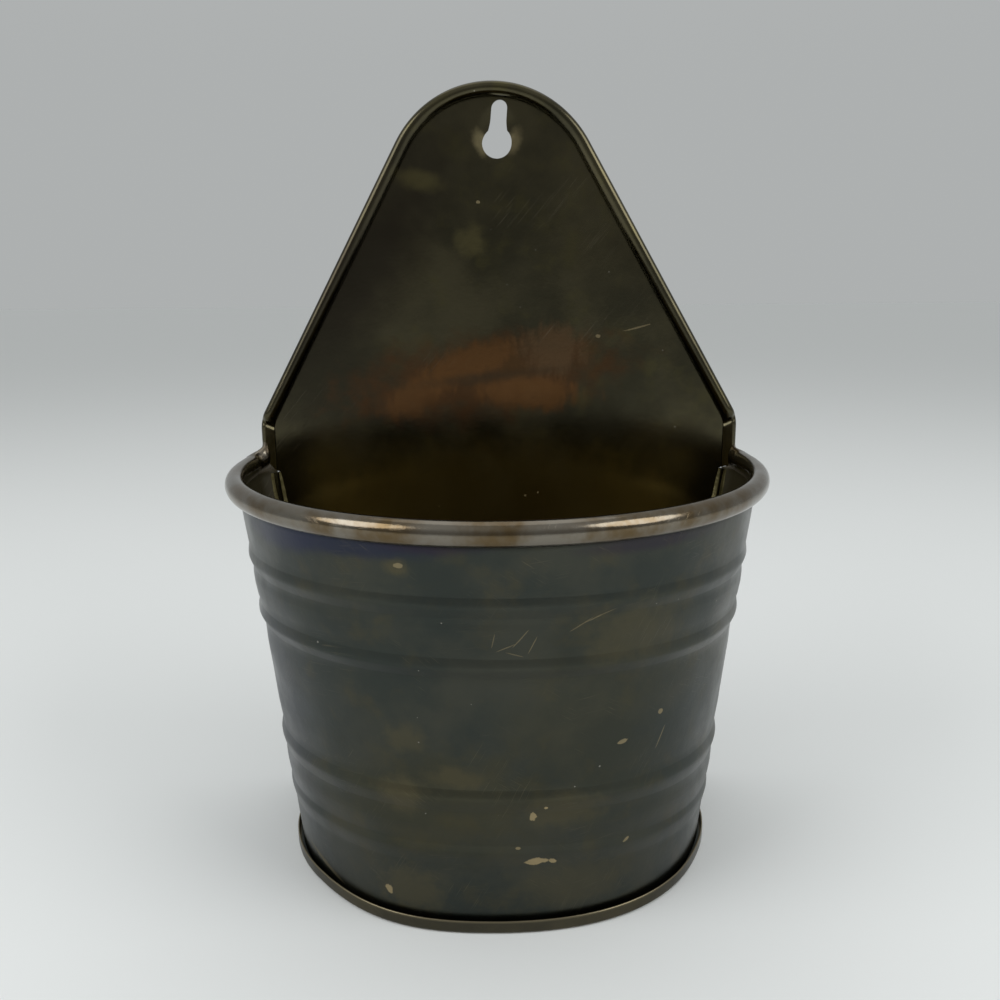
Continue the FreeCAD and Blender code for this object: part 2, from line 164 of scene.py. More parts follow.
number = "NodeSocketFloat"
vector = "NodeSocketVector"
geometry = "NodeSocketGeometry"


# meshes

def sheetGrid(name, columns, stations):
    # a closed sheet: each station gives the values of its outer and inner face, each column
    # the values along the way, and a tree puts every point in its place
    rows = [outer for outer, inner in stations] + [inner for outer, inner in reversed(stations)]
    rowCount = len(rows)
    points = [(column, row, 0) for column in range(len(columns)) for row in range(rowCount)]
    faces = []
    for column in range(len(columns) - 1):
        start = column * rowCount
        for row in range(rowCount):
            following = (row + 1) % rowCount
            faces.append((start + row, start + following, start + rowCount + following, start + rowCount + row))
    last = (len(columns) - 1) * rowCount
    for row in range(len(stations) - 1):
        opposite = rowCount - 1 - row
        end = (row, row + 1, opposite - 1, opposite)
        faces.append(end)
        faces.append(tuple(last + index for index in reversed(end)))
    mesh = bpy.data.meshes.new(name)
    mesh.from_pydata(points, [], faces)
    for key in columns[0]:
        layer = mesh.attributes.new(key, "FLOAT", "POINT")
        layer.data.foreach_set("value", [column[key] for column in columns for row in rows])
    for key in rows[0]:
        layer = mesh.attributes.new(key, "FLOAT", "POINT")
        layer.data.foreach_set("value", [row[key] for column in columns for row in rows])
    return mesh


def runTree(name, mesh, tree, values):
    # the tree's result as a plain mesh, in metres
    piece = bpy.data.objects.new(name, mesh)
    scene.collection.objects.link(piece)
    modifier = piece.modifiers.new("form", "NODES")
    modifier.node_group = tree
    for socket in tree.interface.items_tree:
        if socket.item_type == "SOCKET" and socket.in_out == "INPUT" and socket.name in values:
            modifier[socket.identifier] = values[socket.name]
    depsgraph = bpy.context.evaluated_depsgraph_get()
    formed = bpy.data.meshes.new_from_object(
        piece.evaluated_get(depsgraph), preserve_all_data_layers=True, depsgraph=depsgraph)
    piece.modifiers.clear()
    piece.data = formed
    bpy.data.meshes.remove(mesh)
    return piece


def closeAndSmooth(mesh, sharpAngle):
    # merges what meets, turns the faces outward and keeps the folds sharp
    work = bmesh.new()
    work.from_mesh(mesh)
    bmesh.ops.remove_doubles(work, verts=work.verts, dist=0.002 * millimetre)
    bmesh.ops.recalc_face_normals(work, faces=work.faces)
    work.to_mesh(mesh)
    work.free()
    mesh.polygons.foreach_set("use_smooth", [True] * len(mesh.polygons))
    mesh.set_sharp_from_angle(angle=math.radians(sharpAngle))


def meshFrom(work, name, material, sharpAngle):
    # a bmesh in millimetres as a finished mesh in metres
    bmesh.ops.transform(work, verts=work.verts, matrix=Matrix.Scale(millimetre, 4))
    mesh = bpy.data.meshes.new(name)
    work.to_mesh(mesh)
    work.free()
    mesh.materials.append(material)
    closeAndSmooth(mesh, sharpAngle)
    return mesh


def joinMeshes(name, meshes):
    # several closed meshes as one, with the attributes of all
    pieces = []
    for mesh in meshes:
        piece = bpy.data.objects.new(name, mesh)
        scene.collection.objects.link(piece)
        pieces.append(piece)
    with bpy.context.temp_override(
            active_object=pieces[0], object=pieces[0], selected_editable_objects=pieces, selected_objects=pieces):
        bpy.ops.object.join()
    return pieces[0]


def settle(piece, name, body, slotName, *nodes):
    # the finished piece takes its place in the frame
    piece.name = name
    piece.data.name = name
    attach(piece, body)
    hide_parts(*nodes)
    print(name, len(piece.data.polygons), "faces")


# The bucket's plan at any height: one front arc, two side arcs and two straight sides.
planSizes = {
    "Rim Height": 122.5,
    "Rim Half Width": 85.0,
    "Rim Depth": 108.6,
    "Rim Widest": 18.0,
    "Foot Half Width": 67.8,
    "Foot Depth": 90.9,
    "Foot Widest": 30.0,
    "Front Arc Angle": math.radians(45.0),
    "Rim Inset": 0.55,           # the wall's outside inward from the rim's centre, at the rim
    "Wall Bow": 0.5,             # how hollow the wall's line is between foot and rim
    "Corner Swell": 1.6,         # the foot's front is a little square
    "Corner Span": math.radians(59.0),
    "Corner Skew": math.radians(7.0),    # wider on the right
    "Sink": 6.6,                 # how far the ribs sink towards the sides, at the floor
    "Sink Per Height": 0.045,
    "Skew": 2.0,                 # how much lower they are on the right
    "Skew Per Height": 0.0145,
    "Tuck Length": 7.5,          # the last of each side turns in to meet the plate
    "Tuck": 4.0,
    "Tuck Shift": 1.05,          # more on the left, because the plate sits a little to the right
    "Tuck At Foot": 0.43,
    "Pinch Length": 9.0,         # near the plate the roll is squeezed and climbs
    "Pinch": 0.7,
    "Pinch Middle": 3.1,
    "Pinch Stretch": 0.28,
    "Pinch Rise": 2.1,
    "Rise Shift": 1.5,
    "Roll Height": 122.15,
    "Roll Setback": 1.35,        # where the roll stops, in front of the back plane
    "Dent Depth": 0.22,
    "Dent Size": 26.0,
    "Dent Seed": 4.0,
}

# (middle above the floor, reach above it, reach below it, how far it stands out, rounding)
wallRelief = [
    (101.9, 3.0, 3.2, 0.72, 0.2),
    (98.7, 3.0, 3.0, -0.15, 0.2),
    (93.2, 5.5, 5.5, 0.5, 1.5),
    (84.5, 3.2, 3.2, 0.84, 0.2),
    (81.2, 3.3, 7.0, -0.36, 0.15),
    (47.3, 8.0, 3.0, -0.27, 0.15),
    (44.1, 3.1, 4.2, 0.72, 0.25),
    (35.3, 12.0, 12.0, 0.12, 1.5),
    (34.9, 5.0, 5.0, 0.42, 1.5),
    (26.7, 2.4, 4.6, 0.56, 0.25),
]


def makeReliefGroup():
    # a ridge or hollow pressed into the wall, with a crease above and below it
    tree, given, out = newGroup("pressedRib", "GeometryNodeTree", [
        ("Height", number, 0.0), ("Middle", number, 0.0), ("Above", number, 3.0), ("Below", number, 3.0),
        ("Rise", number, 0.5), ("Rounding", number, 0.25)], [("Out", number)])
    distance = given["Height"] - given["Middle"]
    reach = distance.calc("GREATER_THAN", 0.0).between(given["Below"], given["Above"])
    share = (distance / reach).calc("ABSOLUTE").calc("MINIMUM", 1.0)
    rounding = given["Rounding"]
    crown = (share * share + rounding * rounding).calc("SQRT")
    edge = (1 + rounding * rounding).calc("SQRT")
    plug(tree, out.inputs["Out"], given["Rise"] * (edge - crown) / (edge - rounding))
    return tree


def attribute(tree, name):
    node = addNode(tree, "GeometryNodeInputNamedAttribute", {"data_type": "FLOAT"}, {"Name": name})
    return Flow(tree, node.outputs["Attribute"])


def finishTree(tree, placed, given, out):
    # moves the points, turns millimetres into metres and sets the material
    moved = addNode(tree, "GeometryNodeSetPosition", {}, {"Geometry": given["Section"], "Position": placed})
    metres = addNode(tree, "GeometryNodeTransform", {}, {
        "Geometry": Flow(tree, moved.outputs[0]), "Scale": (millimetre,) * 3})
    whole = addNode(tree, "GeometryNodeRealizeInstances", {}, {"Geometry": Flow(tree, metres.outputs[0])})
    painted = addNode(tree, "GeometryNodeSetMaterial", {}, {
        "Geometry": Flow(tree, whole.outputs[0]), "Material": given["Material"]})
    plug(tree, out.inputs["Geometry"], Flow(tree, painted.outputs[0]))


def makePlanTree():
    # places a section's points round the bucket's plan
    tree, given, out = newGroup("aroundThePlan", "GeometryNodeTree", [
        ("Section", geometry, None),
        *[(name, number, value) for name, value in planSizes.items()],
        ("Back Plane", number, backPlane),
        ("Material", "NodeSocketMaterial", None),
    ], [("Geometry", geometry)])
    turn, run, planHeight, offset, height, wall, roll, spread = [
        attribute(tree, name)
        for name in ("turn", "run", "planHeight", "offset", "height", "wall", "roll", "spread")]
    side = turn.calc("SIGN")
    sideways = turn.calc("SINE")

    # the ribs sink towards the sides
    sink = (given["Sink"] - height * given["Sink Per Height"]) * sideways * sideways
    sink = sink + (given["Skew"] - height * given["Skew Per Height"]) * sideways
    sink = sink * wall * height.ease(3, 20) * height.ease(104, 118, 1, 0)
    ribHeight = height
    height = height - sink
    level = (planHeight - sink) / given["Rim Height"]
    halfWidth = level.between(given["Foot Half Width"], given["Rim Half Width"])
    depth = level.between(given["Foot Depth"], given["Rim Depth"])
    widest = level.between(given["Foot Widest"], given["Rim Widest"])
    sine = given["Front Arc Angle"].calc("SINE")
    cosine = given["Front Arc Angle"].calc("COSINE")
    difference = (widest + halfWidth - depth) / (sine + cosine - 1)
    frontRadius = halfWidth + difference * (1 - sine)
    sideRadius = halfWidth - difference * sine

    # ribs and dents move both faces of the wall by the same amount
    group = makeReliefGroup()
    relief = 0.0
    for middle, above, below, rise, rounding in wallRelief:
        relief = relief + useGroup(tree, group, {
            "Height": ribHeight, "Middle": middle, "Above": above, "Below": below, "Rise": rise,
            "Rounding": rounding}, "Out")
    dentPlace = combine(tree, turn * 70, run * 18, height + given["Dent Seed"] * 100)
    node = addNode(tree, "ShaderNodeTexNoise", {}, {
        "Vector": dentPlace, "Scale": 1 / given["Dent Size"], "Detail": 1.0})
    dents = (Flow(tree, node.outputs[0]) - 0.5) * 2 * given["Dent Depth"]
    dents = dents * height.ease(3, 18) * height.ease(104, 119, 1, 0) * run.ease(0.2, 0.9, 1, 0)
    bow = given["Wall Bow"] * 4 * level * (1 - level)
    offset = offset + wall * (relief + dents - given["Rim Inset"] * level - bow)
    span = given["Corner Span"] + side * given["Corner Skew"]
    corner = ((turn.calc("ABSOLUTE") / span).calc("MINIMUM", 1.0) * math.pi).calc("SINE")
    fade = (1 - level) * (1 - level)
    offset = offset + given["Corner Swell"] * corner * corner * fade

    # near the plate the sides turn in, and the roll is squeezed and climbs
    fromBack = (1 - run) * widest
    tuck = fromBack.ease(1.0, given["Tuck Length"], 1.0, 0.0) * level.between(given["Tuck At Foot"], 1.0)
    pinch = (1 - fromBack / given["Pinch Length"]).calc("MAXIMUM", 0.0)
    pinch = roll * pinch * pinch
    middle = given["Pinch Middle"]
    offset = middle + (offset - middle) * (1 - given["Pinch"] * pinch)
    middle = given["Roll Height"]
    height = middle + (height - middle) * (1 + given["Pinch Stretch"] * pinch)
    height = height + (given["Pinch Rise"] - side * given["Rise Shift"]) * pinch
    reach = run * (widest - roll * given["Roll Setback"])

    isFront = turn.calc("ABSOLUTE").calc("LESS_THAN", given["Front Arc Angle"])
    centreX = isFront.between(side * (halfWidth - sideRadius), 0.0)
    centreY = isFront.between(-1 * widest, frontRadius - depth)
    radius = isFront.between(sideRadius, frontRadius) + offset
    inward = (given["Tuck"] - side * given["Tuck Shift"]) * tuck
    x = centreX + radius * sideways - side * inward
    y = centreY - radius * turn.calc("COSINE") + reach
    placed = combine(tree, x * spread, y * spread + given["Back Plane"], height)
    finishTree(tree, placed, given, out)
    return tree


def planColumns(straight, round):
    # the straight sides' columns stand closer together towards the plate
    runs = [1 - (step / straight) ** 1.7 for step in range(straight)]
    columns = [{"turn": -math.pi / 2, "run": run} for run in runs]
    for step in range(round + 1):
        columns.append({"turn": -math.pi / 2 + math.pi * step / round, "run": 0.0})
    columns += [{"turn": math.pi / 2, "run": run} for run in reversed(runs)]
    return columns


def row(planHeight, offset, height, wall=0.0, roll=0.0, spread=1.0, outside=1.0, edge=0.0):
    return {"planHeight": planHeight, "offset": offset, "height": height, "wall": wall,
            "roll": roll, "spread": spread, "outside": outside, "edge": edge}


bucket = {
    "rollHalfWidth": 3.1,
    "rollHalfHeight": 3.45,
    "rollStart": 205.0,          # from the wall over the top to the end, in degrees
    "rollEnd": -112.0,
    "rollSteps": 28,
    "neck": 118.6,               # where the wall turns in under the roll
    "flangeReach": 1.4,
    "flangeBend": 0.4,
    "ribSteps": 18,
    "plainStep": 2.4,
    "straightColumns": 12,
    "roundColumns": 200,
}


def wallHeights():
    # closer together on the ribs
    heights = set()
    for middle, above, below, rise, rounding in wallRelief:
        top = middle + above
        steps = bucket["ribSteps"] if rise > 0.4 and rounding < 1 else 4
        for step in range(steps + 1):
            height = round(top - (above + below) * step / steps, 3)
            if all(abs(height - taken) > 0.12 for taken in heights):
                heights.add(height)
    foot = sheetThickness + 2.5 * bucket["flangeBend"]
    plain = foot
    while plain < bucket["neck"]:
        if all(abs(plain - taken) > 0.35 * bucket["plainStep"] for taken in heights):
            heights.add(round(plain, 3))
        plain += bucket["plainStep"]
    return [height for height in sorted(heights) if height < bucket["neck"] - 0.8] + [bucket["neck"]]


def bucketStations():
    rim = planSizes["Rim Height"]
    centre = planSizes["Roll Height"]
    reach = bucket["flangeReach"]
    bend = bucket["flangeBend"]
    low = sheetThickness
    stations = [
        (row(0, reach, low + sheetThickness, edge=1), row(0, reach, low, edge=1)),
        (row(0, reach * 0.6, low + sheetThickness), row(0, reach * 0.6, low, outside=0)),
    ]
    for angle in (270, 225, 180):
        x = math.cos(math.radians(angle))
        z = math.sin(math.radians(angle))
        middle = low + sheetThickness + bend
        wide = bend + sheetThickness
        stations.append((
            row(0, bend + bend * x, middle + bend * z),
            row(0, bend + wide * x, middle + wide * z, outside=0)))
    for height in wallHeights()[1:]:
        stations.append((
            row(height, 0, height, wall=1), row(height, -sheetThickness, height, wall=1, outside=0)))
    stations.append((row(rim, -1.75, 119.5, roll=1), row(rim, -2.35, 119.5, roll=1, outside=0)))
    steps = bucket["rollSteps"]
    for step in range(steps + 1):
        angle = math.radians(bucket["rollStart"] + (bucket["rollEnd"] - bucket["rollStart"]) * step / steps)
        tip = 1.0 if step == steps else 0.0
        faces = []
        for thickness in (sheetThickness, 0.0):
            wide = bucket["rollHalfWidth"] - thickness
            tall = bucket["rollHalfHeight"] - thickness
            faces.append(row(rim, wide * math.cos(angle), centre + tall * math.sin(angle), roll=1, edge=tip))
        stations.append(tuple(faces))
    return stations


planTree = makePlanTree()


def makeBucket(material):
    columns = planColumns(bucket["straightColumns"], bucket["roundColumns"])
    mesh = sheetGrid("bucketGrid", columns, bucketStations())
    piece = runTree("bucketShell", mesh, planTree, {
        **planSizes, "Back Plane": backPlane, "Material": material})
    closeAndSmooth(piece.data, 50)
    settle(piece, "bucketShell", "root", "bucket_metal", "bucket_shell")
    return piece


baseCap = {
    "bandHeight": 3.9,
    "bandOutside": 2.05,
    "cornerRadius": 0.75,
    "spreadSteps": 12,
    "lipHalf": 60.0,
    "lipFront": -1.25,
    "lipBack": -0.65,
}


def baseStations():
    # from the middle of the back out along the bottom and up the band
    outside = baseCap["bandOutside"]
    corner = baseCap["cornerRadius"]
    top = baseCap["bandHeight"]
    stations = []
    for step in range(baseCap["spreadSteps"] + 1):
        spread = step / baseCap["spreadSteps"]
        stations.append((
            row(0, outside - corner, 0, spread=spread, outside=0),
            row(0, outside - corner, sheetThickness, spread=spread, outside=0)))
    for angle in (-67.5, -45, -22.5, 0):
        x = math.cos(math.radians(angle))
        z = math.sin(math.radians(angle))
        small = corner - sheetThickness
        stations.append((
            row(0, outside - corner + corner * x, corner + corner * z),
            row(0, outside - corner + small * x, corner + small * z, outside=0)))
    for height in (1.6, 2.5, 3.2):
        stations.append((row(0, outside, height), row(0, outside - sheetThickness, height, outside=0)))
    stations.append((
        row(0, outside, top - 0.22, edge=0.6), row(0, outside - sheetThickness, top - 0.22, edge=0.6)))
    stations.append((
        row(0, outside - 0.09, top - 0.06, edge=1), row(0, outside - sheetThickness + 0.09, top - 0.06, edge=1)))
    stations.append((
        row(0, outside - 0.24, top, edge=1), row(0, outside - sheetThickness + 0.24, top, edge=1)))
    return stations


def makeBase(material):
    columns = planColumns(6, 160)
    mesh = sheetGrid("baseGrid", columns, baseStations())
    cap = runTree("baseCap", mesh, planTree, {
        **planSizes, "Back Plane": backPlane, "Material": material})
    closeAndSmooth(cap.data, 50)

    # the lip inside the plate, its edges rounded
    low = Vector((-baseCap["lipHalf"], backPlane + baseCap["lipFront"], 0.1))
    high = Vector((baseCap["lipHalf"], backPlane + baseCap["lipBack"], baseCap["bandHeight"]))
    work = bmesh.new()
    bmesh.ops.create_cube(work, size=1.0)
    bmesh.ops.transform(work, verts=work.verts, matrix=Matrix.LocRotScale((low + high) / 2, None, high - low))
    bmesh.ops.bevel(work, geom=work.edges, offset=0.2, segments=3, affect="EDGES")
    lip = meshFrom(work, "backLip", material, 50)
    capMesh = cap.data
    bpy.data.objects.remove(cap)
    piece = joinMeshes("baseCap", [capMesh, lip])
    settle(piece, "baseCap", "root", "base_metal", "base_cap")
    return piece


# The plate's edge: an arch, two straight runs, two shoulders and two short upright hems.
arch = {
    "radius": 34.6,
    "centreHeight": 210.7,
    "shoulderHalf": 81.5,
    "shoulderHeight": 136.4,
    "hemFoot": 119.2,
    "cornerCut": 3.0,            # how far from the shoulder its rounding starts
    "crimpStart": 139.5,         # below it the bead is pressed flatter
    "crimpFull": 135.0,
    "leanAtShoulder": 0.9,       # the arch leans a little to the left
    "leanAtTop": -1.0,
    "archPoints": 64,
    "runPoints": 90,
}


def lean(height):
    share = (height - arch["shoulderHeight"]) / (arch["centreHeight"] + arch["radius"] - arch["shoulderHeight"])
    return arch["leanAtShoulder"] + (arch["leanAtTop"] - arch["leanAtShoulder"]) * min(max(share, 0), 1)


def crimpAt(height):
    share = (arch["crimpStart"] - height) / (arch["crimpStart"] - arch["crimpFull"])
    share = min(max(share, 0), 1)
    return share * share * (3 - 2 * share)


def rightEdge():
    # (x, z, crimp) from the top of the arch down to the foot of the right hem
    x = arch["shoulderHalf"]
    rise = arch["shoulderHeight"] - arch["centreHeight"]
    tangent = math.atan2(rise, x) + math.acos(arch["radius"] / math.hypot(x, rise))
    points = []
    for step in range(arch["archPoints"] + 1):
        angle = math.pi / 2 + (tangent - math.pi / 2) * step / arch["archPoints"]
        points.append((arch["radius"] * math.cos(angle), arch["centreHeight"] + arch["radius"] * math.sin(angle), 0))
    start = Vector(points[-1][:2])
    shoulder = Vector((x, arch["shoulderHeight"]))
    along = (shoulder - start).normalized()
    cut = arch["cornerCut"]
    length = (shoulder - start).length - cut
    for step in range(1, arch["runPoints"] + 1):
        place = start + along * length * step / arch["runPoints"]
        points.append((place.x, place.y, crimpAt(place.y)))
    before = shoulder - along * cut
    after = shoulder - Vector((0, cut))
    for step in range(1, 31):
        share = step / 30
        place = before * (1 - share) ** 2 + shoulder * 2 * share * (1 - share) + after * share ** 2
        points.append((place.x, place.y, crimpAt(place.y)))
    for step in range(1, 49):
        height = after.y + (arch["hemFoot"] - after.y) * step / 48
        points.append((x, height, crimpAt(height)))
    return points


def edgePoints():
    right = rightEdge()
    left = [(-x, z, crimp) for x, z, crimp in reversed(right[1:])]
    return [(x + lean(z), z, crimp) for x, z, crimp in left + right]


bead = {
    "radius": 2.2,
    "end": 300.0,
    "steps": 26,
    "ridge": 2.4,                # the crimped bead at the shoulders is a low roof
    "ridgeAngle": 205.0,
    "eave": 0.85,
    "flatWiden": 0.05,
    "wireRadius": 1.55,
}


def makeArchTree():
    # places a section's points along the plate's edge
    tree, given, out = newGroup("alongTheEdge", "GeometryNodeTree", [
        ("Section", geometry, None),
        ("Path", "NodeSocketObject", None),
        ("Crease Height", number, 135.6),    # a fold across the crimped bead
        ("Crease Half Width", number, 1.3),
        ("Crease Depth", number, 0.3),
        ("Crease Slope", number, 0.5),
        ("Back Plane", number, backPlane),
        ("Material", "NodeSocketMaterial", None),
    ], [("Geometry", geometry)])
    along, crimp, across, away, flatAcross, flatAway = [
        attribute(tree, name) for name in ("along", "crimp", "across", "away", "flatAcross", "flatAway")]
    path = addNode(tree, "GeometryNodeObjectInfo", {"transform_space": "ORIGINAL"}, {"Object": given["Path"]})
    sample = addNode(tree, "GeometryNodeSampleCurve", {"mode": "LENGTH", "use_all_curves": True}, {
        "Curves": Flow(tree, path.outputs["Geometry"]), "Length": along})
    place = Flow(tree, sample.outputs["Position"])
    outward = vectorCalc(tree, "NORMALIZE", vectorCalc(
        tree, "CROSS_PRODUCT", (0.0, 1.0, 0.0), Flow(tree, sample.outputs["Tangent"])))
    outX, outY, outZ = separate(outward)
    x, y, z = separate(place)
    reach = crimp.between(across, flatAcross)
    fromCrease = z + reach * given["Crease Slope"] - given["Crease Height"]
    crease = (1 - fromCrease.calc("ABSOLUTE") / given["Crease Half Width"]).calc("MAXIMUM", 0.0)
    front = crimp.between(away, flatAway) * (1 - crimp * crease * given["Crease Depth"])
    placed = combine(tree, x + outX * reach, given["Back Plane"] - front, z + outZ * reach)
    finishTree(tree, placed, given, out)
    return tree


def makePath(points):
    curve = bpy.data.curves.new("plateEdge", "CURVE")
    curve.dimensions = "3D"
    spline = curve.splines.new("POLY")
    spline.points.add(len(points) - 1)
    for spot, (x, z, crimp) in zip(spline.points, points):
        spot.co = (x, 0, z, 1)
    path = bpy.data.objects.new("plateEdge", curve)
    scene.collection.objects.link(path)
    return path


def edgeColumns(points, first=0, last=None):
    columns = []
    length = 0.0
    for index, (x, z, crimp) in enumerate(points):
        if index:
            length += math.hypot(x - points[index - 1][0], z - points[index - 1][1])
        columns.append({"along": length, "crimp": crimp})
    return columns[first:last]


def beadRow(angle, radius, inner, edge=0.0):
    across = radius * math.sin(angle)
    away = bead["radius"] - radius * math.cos(angle)
    ridge = math.radians(bead["ridgeAngle"])
    outer = math.pi / 2
    inside = 3 * math.pi / 2
    share = (angle - outer) / (ridge - outer) if angle < ridge else (inside - angle) / (inside - ridge)
    share = max(0.0, share)
    if inner:
        flat = sheetThickness + 0.1 + share * (bead["ridge"] - 2 * sheetThickness - 0.1)
    else:
        flat = min(angle / outer, 1) * bead["eave"] + share * (bead["ridge"] - bead["eave"])
    return {"across": across, "away": away, "flatAcross": across * (1 + bead["flatWiden"]), "flatAway": flat,
            "edge": edge, "outside": 0.0 if inner else 1.0}


def beadStations():
    stations = []
    for step in range(bead["steps"] + 1):
        angle = math.radians(bead["end"] * step / bead["steps"])
        tip = 1.0 if step == bead["steps"] else 0.0
        stations.append((
            beadRow(angle, bead["radius"], False, tip),
            beadRow(angle, bead["radius"] - sheetThickness, True, tip)))
    return stations


keyhole = {
    "centre": (0.8, 228.5),
    "radius": 4.9,
    "shoulderAngle": 40.0,
    "slotHalf": 2.6,
    "slotTop": 13.5,             # all above the centre of the round end
    "flare": 8.0,
    "leanRight": 1.1,            # how far the slot's top leans to the right
    "dimpleCentre": 5.0,
    "dimpleHalfWidth": 6.9,
    "dimpleHalfHeight": 7.4,
    "dimpleDepth": 1.1,
}


def keyholeOutline():
    # anticlockwise from the right shoulder of the round end, as (x, z)
    mouth = math.radians(keyhole["shoulderAngle"])
    start = math.pi / 2 + mouth
    end = 2.5 * math.pi - mouth
    points = []
    for step in range(33):
        angle = start + (end - start) * step / 32
        points.append((keyhole["radius"] * math.cos(angle), keyhole["radius"] * math.sin(angle)))
    half = keyhole["slotHalf"]
    shoulder = points[-1]
    for step in range(1, 5):
        share = step / 5
        points.append((
            shoulder[0] + (half - shoulder[0]) * (1 - (1 - share) ** 2),
            shoulder[1] + (keyhole["flare"] - shoulder[1]) * share))
    capCentre = keyhole["slotTop"] - half
    for step in range(13):
        angle = math.pi * step / 12
        points.append((half * math.cos(angle), capCentre + half * math.sin(angle)))
    shoulder = points[0]
    for step in range(4, 0, -1):
        share = step / 5
        points.append((
            shoulder[0] + (-half - shoulder[0]) * (1 - (1 - share) ** 2),
            shoulder[1] + (keyhole["flare"] - shoulder[1]) * share))
    centreX, centreZ = keyhole["centre"]
    return [(centreX + x + keyhole["leanRight"] * max(z, 0) / keyhole["slotTop"], centreZ + z) for x, z in points]


def insideLoop(x, z, loop):
    inside = False
    for index, (x1, z1) in enumerate(loop):
        x2, z2 = loop[index - 1]
        if (z1 > z) != (z2 > z) and x < (x2 - x1) * (z - z1) / (z2 - z1) + x1:
            inside = not inside
    return inside


def distanceToLoop(x, z, loop):
    nearest = 1e9
    for index, (x1, z1) in enumerate(loop):
        x2, z2 = loop[index - 1]
        length = (x2 - x1) ** 2 + (z2 - z1) ** 2
        share = 0 if length == 0 else min(max(((x - x1) * (x2 - x1) + (z - z1) * (z2 - z1)) / length, 0), 1)
        nearest = min(nearest, math.hypot(x - x1 - share * (x2 - x1), z - z1 - share * (z2 - z1)))
    return nearest


plate = {
    "foot": 0.6,
    "clearance": 0.06,           # between the flanges and the wall
    "flangeTop": 118.4,
    "flangeDepth": 3.0,
    "flatInset": 1.2,            # where the flat ends and the side flange's bend begins
    "spacing": 2.6,
    "dimpleSpacing": 0.75,
    "bulge": 0.28,               # how far the flat swells to the front
    "bulgeSize": 55.0,
}


def plateFront(x, z, edgeDistance):
    # how far the plate's back face stands in front of the back plane
    share = min(edgeDistance / 12, 1)
    swell = plate["bulge"] * max(0, 0.5 + noise.noise(Vector((x, z, 3)) / plate["bulgeSize"]))
    centreX, centreZ = keyhole["centre"]
    u = (x - centreX - 0.4) / keyhole["dimpleHalfWidth"]
    v = (z - centreZ - keyhole["dimpleCentre"]) / keyhole["dimpleHalfHeight"]
    bump = max(0, 1 - (u * u + v * v)) ** 1.5
    return swell * share * share * (3 - 2 * share) + keyhole["dimpleDepth"] * bump


def wallInside(height, fromBack, side):
    # how far the wall's inner face stands from the middle near the plate
    level = height / planSizes["Rim Height"]
    foot = planSizes["Foot Half Width"]
    half = foot + (planSizes["Rim Half Width"] - foot - planSizes["Rim Inset"]) * level
    half -= planSizes["Wall Bow"] * 4 * level * (1 - level)
    share = (fromBack - 1.0) / (planSizes["Tuck Length"] - 1.0)
    share = min(max(share, 0), 1)
    tuck = 1 - share * share * (3 - 2 * share)
    tuck *= planSizes["Tuck At Foot"] + (1 - planSizes["Tuck At Foot"]) * level
    return half - sheetThickness - (planSizes["Tuck"] - side * planSizes["Tuck Shift"]) * tuck


def flatEdge(height, side):
    return side * (wallInside(height, 0, side) - plate["clearance"] - plate["flatInset"])


def plateOutline(points):
    # clockwise from the left hem's foot over the arch and back along the bottom
    outline = [(x, z) for x, z, crimp in points]
    rows = 42
    top = plate["flangeTop"]
    heights = [top + (plate["foot"] - top) * step / rows for step in range(rows + 1)]
    right = [(flatEdge(height, 1), height) for height in heights]
    left = [(flatEdge(height, -1), height) for height in reversed(heights)]
    bottomCount = 44
    start = right[-1][0]
    end = left[0][0]
    bottom = [(start + (end - start) * step / bottomCount, plate["foot"]) for step in range(1, bottomCount)]
    return outline + right + bottom + left


